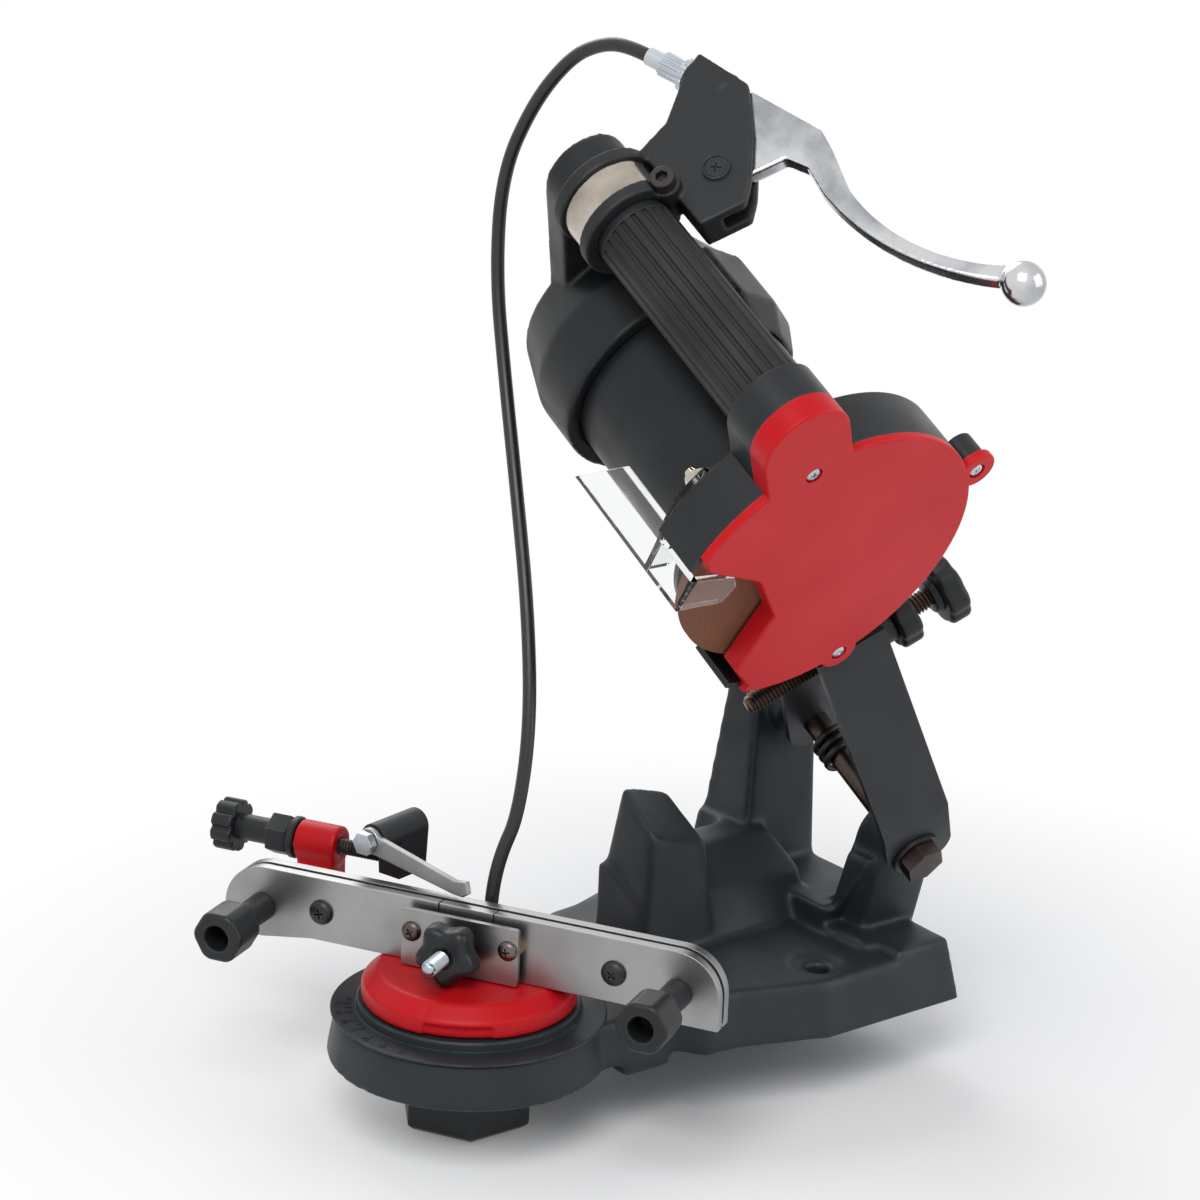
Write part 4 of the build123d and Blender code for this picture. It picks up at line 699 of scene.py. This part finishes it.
def cable_line(points):
    """The middle line of a length of cable, as close points along its smooth curve."""
    data = bpy.data.curves.new("line", "CURVE")
    data.dimensions = "3D"
    data.resolution_u = 12
    spline = data.splines.new("NURBS")
    spline.points.add(len(points) - 1)
    for point, spot in zip(spline.points, points):
        point.co = (*(spot * MM), 1)
    spline.order_u = 3
    spline.use_endpoint_u = True
    holder = bpy.data.objects.new("line", data)
    mesh = bpy.data.meshes.new_from_object(holder)
    line = [v.co.copy() for v in mesh.vertices]
    bpy.data.objects.remove(holder)
    bpy.data.curves.remove(data)
    bpy.data.meshes.remove(mesh)
    return line


def cable(name, points, node):
    """A length of the cable's housing, round along its line, that stands for its node and is left free of
    any body.
    """
    line = cable_line(points)
    sides = 20
    bm = bmesh.new()
    side = (line[1] - line[0]).orthogonal().normalized()
    rings = []
    for index, spot in enumerate(line):
        before = line[max(index - 1, 0)]
        after = line[min(index + 1, len(line) - 1)]
        heading = (after - before).normalized()
        side = (side - heading * side.dot(heading)).normalized()
        matrix = Matrix((side, heading.cross(side), heading)).transposed().to_4x4()
        matrix.translation = spot
        ring = bmesh.ops.create_circle(
            bm, cap_ends=False, radius=cable_radius * MM, segments=sides, matrix=matrix,
        )
        rings.append(ring["verts"])
    for ring, following in zip(rings, rings[1:]):
        for step in range(sides):
            bm.faces.new((ring[step], ring[(step + 1) % sides], following[(step + 1) % sides],
                          following[step]))
    bm.faces.new(rings[0])
    bm.faces.new(rings[-1])
    bmesh.ops.recalc_face_normals(bm, faces=bm.faces)
    piece = settle(bm, name, "base", cable_jacket, node, 60)
    piece.parent = None
    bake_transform(piece)


cable("cable_housing_upper", upper_route, "cable_upper")
cable("cable_housing_lower", lower_route, "cable_lower")

# ---------------------------------------------------------------- finishes of the plain nodes
moulded("turntable", red_plastic, 0.6, 8)
rounded("wheel_cover", red_plastic, 0.9, 3)
rounded("wheel_guard", black_plastic, 0.6)
rounded("swing_arm", arm_grey, 0.8, 3)
rounded("motor_front", motor_plastic, 0.5)
moulded("motor_rear", motor_plastic, 0.8, 9)
rounded("grip", grip_rubber, 0.25, 1)
rounded("grip_core", perch_black, 0.6)
moulded("lever_perch", perch_black, 0.45, 9)
rounded("clamp_band", nickel, 0.3)
moulded("brake_lever", polished, 0.4, 9)
rounded("lock_knob", black_plastic, 1.0, 3)
rounded("stop_bracket", arm_grey, 0.6, 3)
rounded("stop_pawl", cast_zinc, 0.5, 3)
rounded("depth_bushing", blackened, 0.3)
rounded("rear_rail", rail_steel, 0.3)
rounded("front_rail_left", rail_steel, 0.3)
rounded("front_rail_right", rail_steel, 0.3)
rounded("rail_shims", rail_steel, 0.15)
rounded("moving_jaw", rail_steel, 0.3)
rounded("clamp_plate", plate_steel, 0.25)
rounded("plate_spacers", brass, 0.2)
rounded("barrel_adjuster", zinc, 0.2)
rounded("power_switch", red_plastic, 0.5, 3)
rounded("inlet_gland", cable_jacket, 0.5, 3)
rounded("visor", clear_sheet, 0.35)
rounded("grinding_wheel", abrasive, 0.3)
rounded("wheel_flanges", motor_steel, 0.3)
rounded("pivot_bolt", bolt_brown, 0.4)
rounded("pivot_fasteners", blackened, 0.3)
rounded("return_spring", blackened, 0.05, 1, sharp=70, smooth_under=60)
rounded("cable_anchor", zinc, 0.4)
for node, material in (
    ("swivel_stud", zinc), ("rail_studs", zinc), ("pawl_bolt", zinc), ("bearings", rail_steel),
    ("stator", motor_steel), ("visor_screw", nickel), ("spindle", motor_steel), ("rotor", motor_steel),
):
    rounded(node, material, 0.2)


# ---------------------------------------------------------------- base casting
def block(home, low, high):
    """A block between two corners in a frame's millimetres, brought to the row's metres."""
    bm = bmesh.new()
    size = [top - bottom for bottom, top in zip(low, high)]
    middle = [(top + bottom) / 2 for bottom, top in zip(low, high)]
    bmesh.ops.create_cube(bm, size=1, matrix=Matrix.Translation(middle) @ Matrix.Diagonal((*size, 1)))
    to_place(bm, home)
    return bm


def bar(home, radius, start, end):
    """A round bar along a frame's z, its sizes in millimetres, brought to the row's metres."""
    bm = prism(ROUND_SIDES, radius, end - start)
    to_place(bm, home @ Matrix.Translation((0, 0, start)))
    return bm


def hulled(*forms):
    """The tight skin round several forms."""
    bm = together(*forms)
    made = bmesh.ops.convex_hull(bm, input=bm.verts)
    spare = {item for label in ("geom_interior", "geom_unused", "geom_holes") for item in made[label]}
    bmesh.ops.delete(bm, geom=[item for item in spare if isinstance(item, bmesh.types.BMVert)],
                     context="VERTS")
    bmesh.ops.recalc_face_normals(bm, faces=bm.faces)
    return bm


def without_wall_over_arm(body):
    """The way of the swing arm kept clear: nothing of the casting stands in front of its plane."""
    arm_front = 38
    casting_top = 25.2
    wall = block(ARM, (-40, -60, arm_front), (40, 60, 90))
    bmesh.ops.bisect_plane(
        wall, geom=[*wall.verts, *wall.edges, *wall.faces], dist=1e-6,
        plane_co=(0, 0, casting_top * MM), plane_no=(0, 0, -1), clear_outer=True,
    )
    bmesh.ops.holes_fill(wall, edges=[edge for edge in wall.edges if edge.is_boundary], sides=0)
    bmesh.ops.recalc_face_normals(wall, faces=wall.faces)
    return without(body, wall)


def without_tower_side(body):
    """The tower's inner side, cut to a draft of one in ten."""
    side_at = 20.5
    side_foot = 50
    draft = 0.1
    side = block(HERE, (-20, 18, side_foot + 0.3), (20, 60, 110))
    for vert in side.verts:
        if vert.co.x > 0:
            vert.co.x = side_at * MM + draft * (vert.co.z - side_foot * MM)
    return without(body, side)


bench_bolts = ((0, 46), (0, -46))
foot_height = 22
corner_by_bolt = block(HERE, (-68, 24, foot_height + 0.1), (-28, 60, 60))
seats = [bar(shifted(HERE, x, y), 9, foot_height - 1.8, foot_height + 4) for x, y in bench_bolts]
ear_fin = hulled(bar(ARM, 13.5, 23, 37.9), block(HERE, (30, -36, foot_height - 2), (58, -16, foot_height)))
casting = without_wall_over_arm(welded("base"))
casting = without(casting, corner_by_bolt)
casting = without_tower_side(casting)
casting = without(casting, together(*seats))
finish(softened(together(casting, ear_fin), 0.8, 24), "base", cast_grey, 60)

# ---------------------------------------------------------------- dial under the turntable
dial_face = 18.3
dial_zero = 203 - rail_turn


def lettered(text, size, height):
    """Raised figures, centred, that stand on z = 0."""
    data = bpy.data.curves.new("figures", "FONT")
    data.body = text
    data.size = size
    data.extrude = height / 2
    data.align_x = "CENTER"
    data.align_y = "CENTER"
    holder = bpy.data.objects.new("figures", data)
    made = bpy.data.meshes.new_from_object(holder)
    bm = bmesh.new()
    bm.from_mesh(made)
    bmesh.ops.translate(bm, verts=bm.verts, vec=(0, 0, height / 2))
    bpy.data.objects.remove(holder)
    bpy.data.curves.remove(data)
    bpy.data.meshes.remove(made)
    return bm


def on_dial(degrees, radius):
    """A place on the dial's face, its x pointing outwards."""
    turn = Matrix.Rotation(math.radians(dial_zero + degrees), 4, "Z")
    return TABLE @ turn @ Matrix.Translation((radius, 0, dial_face))


dial = [(spun([(5.05, 22), (40.2, 22), (40.8, 21.4), (41, 18.8), (41.8, dial_face), (49.6, dial_face),
               (50.2, 17.9), (50.2, 17.3), (5.05, 17.3), (5.05, 22)], 96), TABLE)]
for degrees in range(-35, 36, 5):
    tick = bmesh.new()
    length = 3.4 if degrees % 10 == 0 else 2.2
    bmesh.ops.create_cube(tick, size=1, matrix=Matrix.Diagonal((length, 0.45, 0.5, 1)))
    dial.append((tick, on_dial(degrees, 42.4 + length / 2)))
for degrees in range(-30, 31, 10):
    upright = Matrix.Rotation(math.pi / 2, 4, "Z")
    dial.append((lettered(str(abs(degrees)), 3.2, 0.25), on_dial(degrees, 47.6) @ upright))
finish(merged(dial), "swivel_ring", cast_grey)

# ---------------------------------------------------------------- screws
rail_screw_side = 58
rail_screw_height = 45
plate_screw_side = 19
plate_screw_height = 47.3
post_side = 82.5
post_height = 42.5
clamp_height = 46
rail_face = 4.9
rail_back = -8.9
plate_face = 9.9
cover_screws = ((-28.5, 49.4, 20), (52, 37, 65), (33.2, -49, 40))
arm_screws = ((113, -7), (113, 7), (125, -7), (125, 7))

forms = [
    (pan_screw(4.75, 2.6, 3, 10.8, 2.9, turn), shifted(RAIL, side, rail_screw_height, rail_face))
    for side, turn in ((-rail_screw_side, 12), (rail_screw_side, 50))
]
forms += [
    (nut(10, 4), shifted(RAIL, side, height, rail_back, 17))
    for reach, height in ((rail_screw_side, rail_screw_height), (post_side, post_height))
    for side in (-reach, reach)
]
finish(merged(forms), "rail_fasteners", blackened)
forms = [
    (pan_screw(3.75, 2, 2, 15.8, 2.2, turn), shifted(RAIL, side, plate_screw_height, plate_face))
    for side, turn in ((-plate_screw_side, 30), (plate_screw_side, 8))
]
finish(merged(forms), "plate_screws", screw_brown)
forms = [(pan_screw(3, 1.5, 1.5, 8.5, 1.9, turn), shifted(WHEEL, x, y, 9.5)) for x, y, turn in cover_screws]
forms += [
    (pan_screw(3.5, 2.5, 2, 6, 2.1, 15 * index), shifted(ARM_BACK, x, -y, 15.5))
    for index, (x, y) in enumerate(arm_screws)
]
finish(merged(forms), "head_screws", zinc)

socket = spun([(0, 4.5), (3.85, 4.5), (4.25, 4.1), (4.25, 0), (2.5, 0), (2.5, -6), (0, -6)])
key_hole = prism(6, 2.35, 5)
bmesh.ops.translate(key_hole, verts=key_hole.verts, vec=(0, 0, 1.7))
finish(merged([(without(socket, key_hole), shifted(LEVER, 9, 16.5, 11))]), "pinch_bolt", blackened)
pivot = spun([(0, 0.75), (3.6, 0.75), (3.85, 0.45), (4.15, 0.45), (4.4, 1.05), (4.7, 1.2), (5, 0.9), (5, 0),
              (3, 0), (3, -15), (0, -15)])
slots = cross_point(2.7, 0.95, 0.7)
bmesh.ops.translate(slots, verts=slots.verts, vec=(0, 0, 0.75))
finish(merged([(without(pivot, slots), shifted(LEVER, 13, 34, 7, 45))]), "lever_pivot", perch_black)


# ---------------------------------------------------------------- posts and hand knobs
def post(node, side):
    """A chain post: a round neck and a soft hexagonal head with a hollow end."""
    head = prism(6, 10.5, 16, 90)
    uprights = [edge for edge in head.edges if abs(edge.verts[0].co.z - edge.verts[1].co.z) > 1]
    broken(head, uprights, 2.6, 5)
    head.normal_update()
    rims = {edge for face in head.faces if abs(face.normal.z) > 0.9 for edge in face.edges}
    broken(head, rims, 1.8, 4)
    mouth = spun([(0, 5), (4.4, 5), (4.4, 15), (5.3, 16.4), (0, 16.4)])
    hollow = without(head, mouth)
    neck = spun([(0, 0), (5.2, 0), (5.4, 0.4), (5.2, 15), (5.4, 17.5), (6.4, 18.8), (0, 18.8)], 40)
    forms = [(hollow, shifted(RAIL, side, post_height, 23.5)), (neck, shifted(RAIL, side, post_height, 5.2))]
    finish(merged(forms), node, black_plastic, 50)


post("rail_knob_left", -post_side)
post("rail_knob_right", post_side)
star = lobed_knob(12, 10, 5, 2.7, 3.0, start=18, pinch=1.0)
hub = spun([(0, 0), (5.6, 0), (6, 0.4), (6, 4), (0, 4)])
boss = spun([(0, 8), (5.2, 8), (5.2, 10.2), (4.4, 10.9), (3.2, 10.9), (0, 10.9)])
forms = ((hub, 11.1), (star, 14.1), (boss, 13.2))
finish(merged([(form, shifted(RAIL, 0, clamp_height, face)) for form, face in forms]),
       "clamp_knob", black_plastic, 50)
thread("clamp_bolt", shifted(RAIL, 0, clamp_height), 3, 1.25, 0.9, 36, zinc, 0.8)
lock = lobed_knob(12, 9, 8, 0.9, 1.8, pinch=2.4, dish=0.5)
finish(merged([(lock, shifted(DEPTH, 0, 0, 11.3))]), "depth_lock_knob", black_plastic, 50)
collar = spun([(0, 4.5), (6.4, 4.5), (7, 5.1), (7.5, 8), (0, 8)])
wheel_knob = lobed_knob(13.5, 9, 8, 0.9, 2.2, pinch=2.4, dish=0.7)
finish(merged([(collar, shifted(DEPTH, 0, 0, 24.5)), (wheel_knob, shifted(DEPTH, 0, 0, 31.5))]),
       "depth_knob", black_plastic, 50)
thread("depth_rod", DEPTH, 4, 1.5, -51, 33.5, thread_brown, 1.2)
thread("stop_rod", STOP_ROD, 3, 1.25, -117, -44.4, blackened, 0.6)
cap = lobed_knob(10, 8.5, 9, 1.5, 0.8, pinch=4.0, dish=1.6)
bmesh.ops.rotate(cap, verts=cap.verts, matrix=Matrix.Rotation(math.pi, 3, "X"))
bmesh.ops.translate(cap, verts=cap.verts, vec=(0, 0, 8.5))
stem = spun([(0, 0), (5, 0), (5, 13), (0, 13)])
finish(merged([(cap, shifted(STOP_ROD, 0, 0, -119)), (stem, shifted(STOP_ROD, 0, 0, -110.5))]),
       "stop_knob", black_plastic, 50)
flange = spun([(0, 0), (7.4, 0), (8, 0.6), (8, 2.4), (7.4, 3), (0, 3)])
finish(merged([(nut(14, 9, 1.0), shifted(STOP_ROD, 0, 0, -97.3)), (flange, shifted(STOP_ROD, 0, 0, -88.3))]),
       "stop_lock_nut", black_plastic)


# ---------------------------------------------------------------- floor, lamps and background
def background_seen(tree):
    """1 for the rays that show the background: those of the camera, of metal and of glass."""
    path = tree.nodes.new("ShaderNodeLightPath")
    either = arithmetic(tree, "MAXIMUM", path.outputs["Is Camera Ray"], path.outputs["Is Transmission Ray"])
    return arithmetic(tree, "MAXIMUM", either, path.outputs["Is Glossy Ray"])


def pale(name, ground):
    """Pale ground that keeps the shadow near the machine and is white further out."""
    material = bpy.data.materials.new(name)
    material.use_nodes = True
    tree = material.node_tree
    shader = tree.nodes["Principled BSDF"]
    shader.inputs["Base Color"].default_value = (ground, ground, ground, 1)
    shader.inputs["Roughness"].default_value = 0.9
    shader.inputs["Specular IOR Level"].default_value = 0.0
    where = tree.nodes.new("ShaderNodeTexCoord").outputs["Object"]
    reach = tree.nodes.new("ShaderNodeVectorMath")
    reach.operation = "LENGTH"
    tree.links.new(where, reach.inputs[0])
    far = remap(tree, reach.outputs["Value"], 0.1, 0.33)
    white = tree.nodes.new("ShaderNodeEmission")
    white.inputs["Strength"].default_value = 1.0
    mix = tree.nodes.new("ShaderNodeMixShader")
    tree.links.new(arithmetic(tree, "MULTIPLY", far, background_seen(tree)), mix.inputs[0])
    tree.links.new(shader.outputs[0], mix.inputs[1])
    tree.links.new(white.outputs[0], mix.inputs[2])
    tree.links.new(mix.outputs[0], tree.nodes["Material Output"].inputs["Surface"])
    return material


def add_floor():
    """A wide floor just under the machine, which is a stage and not a piece of it."""
    bm = bmesh.new()
    bmesh.ops.create_grid(bm, x_segments=2, y_segments=2, size=3.0)
    mesh = bpy.data.meshes.new("floor")
    bm.to_mesh(mesh)
    bm.free()
    mesh.materials.append(pale("pale floor", 0.95))
    floor = bpy.data.objects.new("floor", mesh)
    floor.location = (0, 0, cad_box[0][2] - 0.0005)
    bpy.context.scene.collection.objects.link(floor)


def add_lamp(name, spot, aim, size, power):
    """A square soft lamp, its size in metres and its power in watts."""
    data = bpy.data.lights.new(name, "AREA")
    data.shape = "SQUARE"
    data.size = size
    data.energy = power
    lamp = bpy.data.objects.new(name, data)
    lamp.location = spot
    lamp.rotation_euler = (Vector(aim) - Vector(spot)).to_track_quat("-Z", "Y").to_euler()
    bpy.context.scene.collection.objects.link(lamp)


def add_background():
    """White for the rays that show it, and a dimmer, cooler light for everything else."""
    world = bpy.data.worlds.new("studio")
    bpy.context.scene.world = world
    world.use_nodes = True
    tree = world.node_tree
    tree.nodes.clear()
    out = tree.nodes.new("ShaderNodeOutputWorld")
    seen = tree.nodes.new("ShaderNodeBackground")
    seen.inputs["Color"].default_value = (1, 1, 1, 1)
    lit = tree.nodes.new("ShaderNodeBackground")
    lit.inputs["Color"].default_value = (0.9, 0.94, 1, 1)
    lit.inputs["Strength"].default_value = 0.33
    mix = tree.nodes.new("ShaderNodeMixShader")
    tree.links.new(background_seen(tree), mix.inputs[0])
    tree.links.new(lit.outputs[0], mix.inputs[1])
    tree.links.new(seen.outputs[0], mix.inputs[2])
    tree.links.new(mix.outputs[0], out.inputs["Surface"])


add_floor()
middle = (-0.03, 0, 0.17)
add_lamp("key", (-0.9, -0.7, 1.3), middle, 0.9, 15)
add_lamp("fill", (0.9, -1.2, 0.7), middle, 1.2, 7)
add_lamp("rim", (0.3, 1.3, 1.1), middle, 1.0, 9)
add_background()
bpy.context.scene.view_settings.view_transform = "Standard"
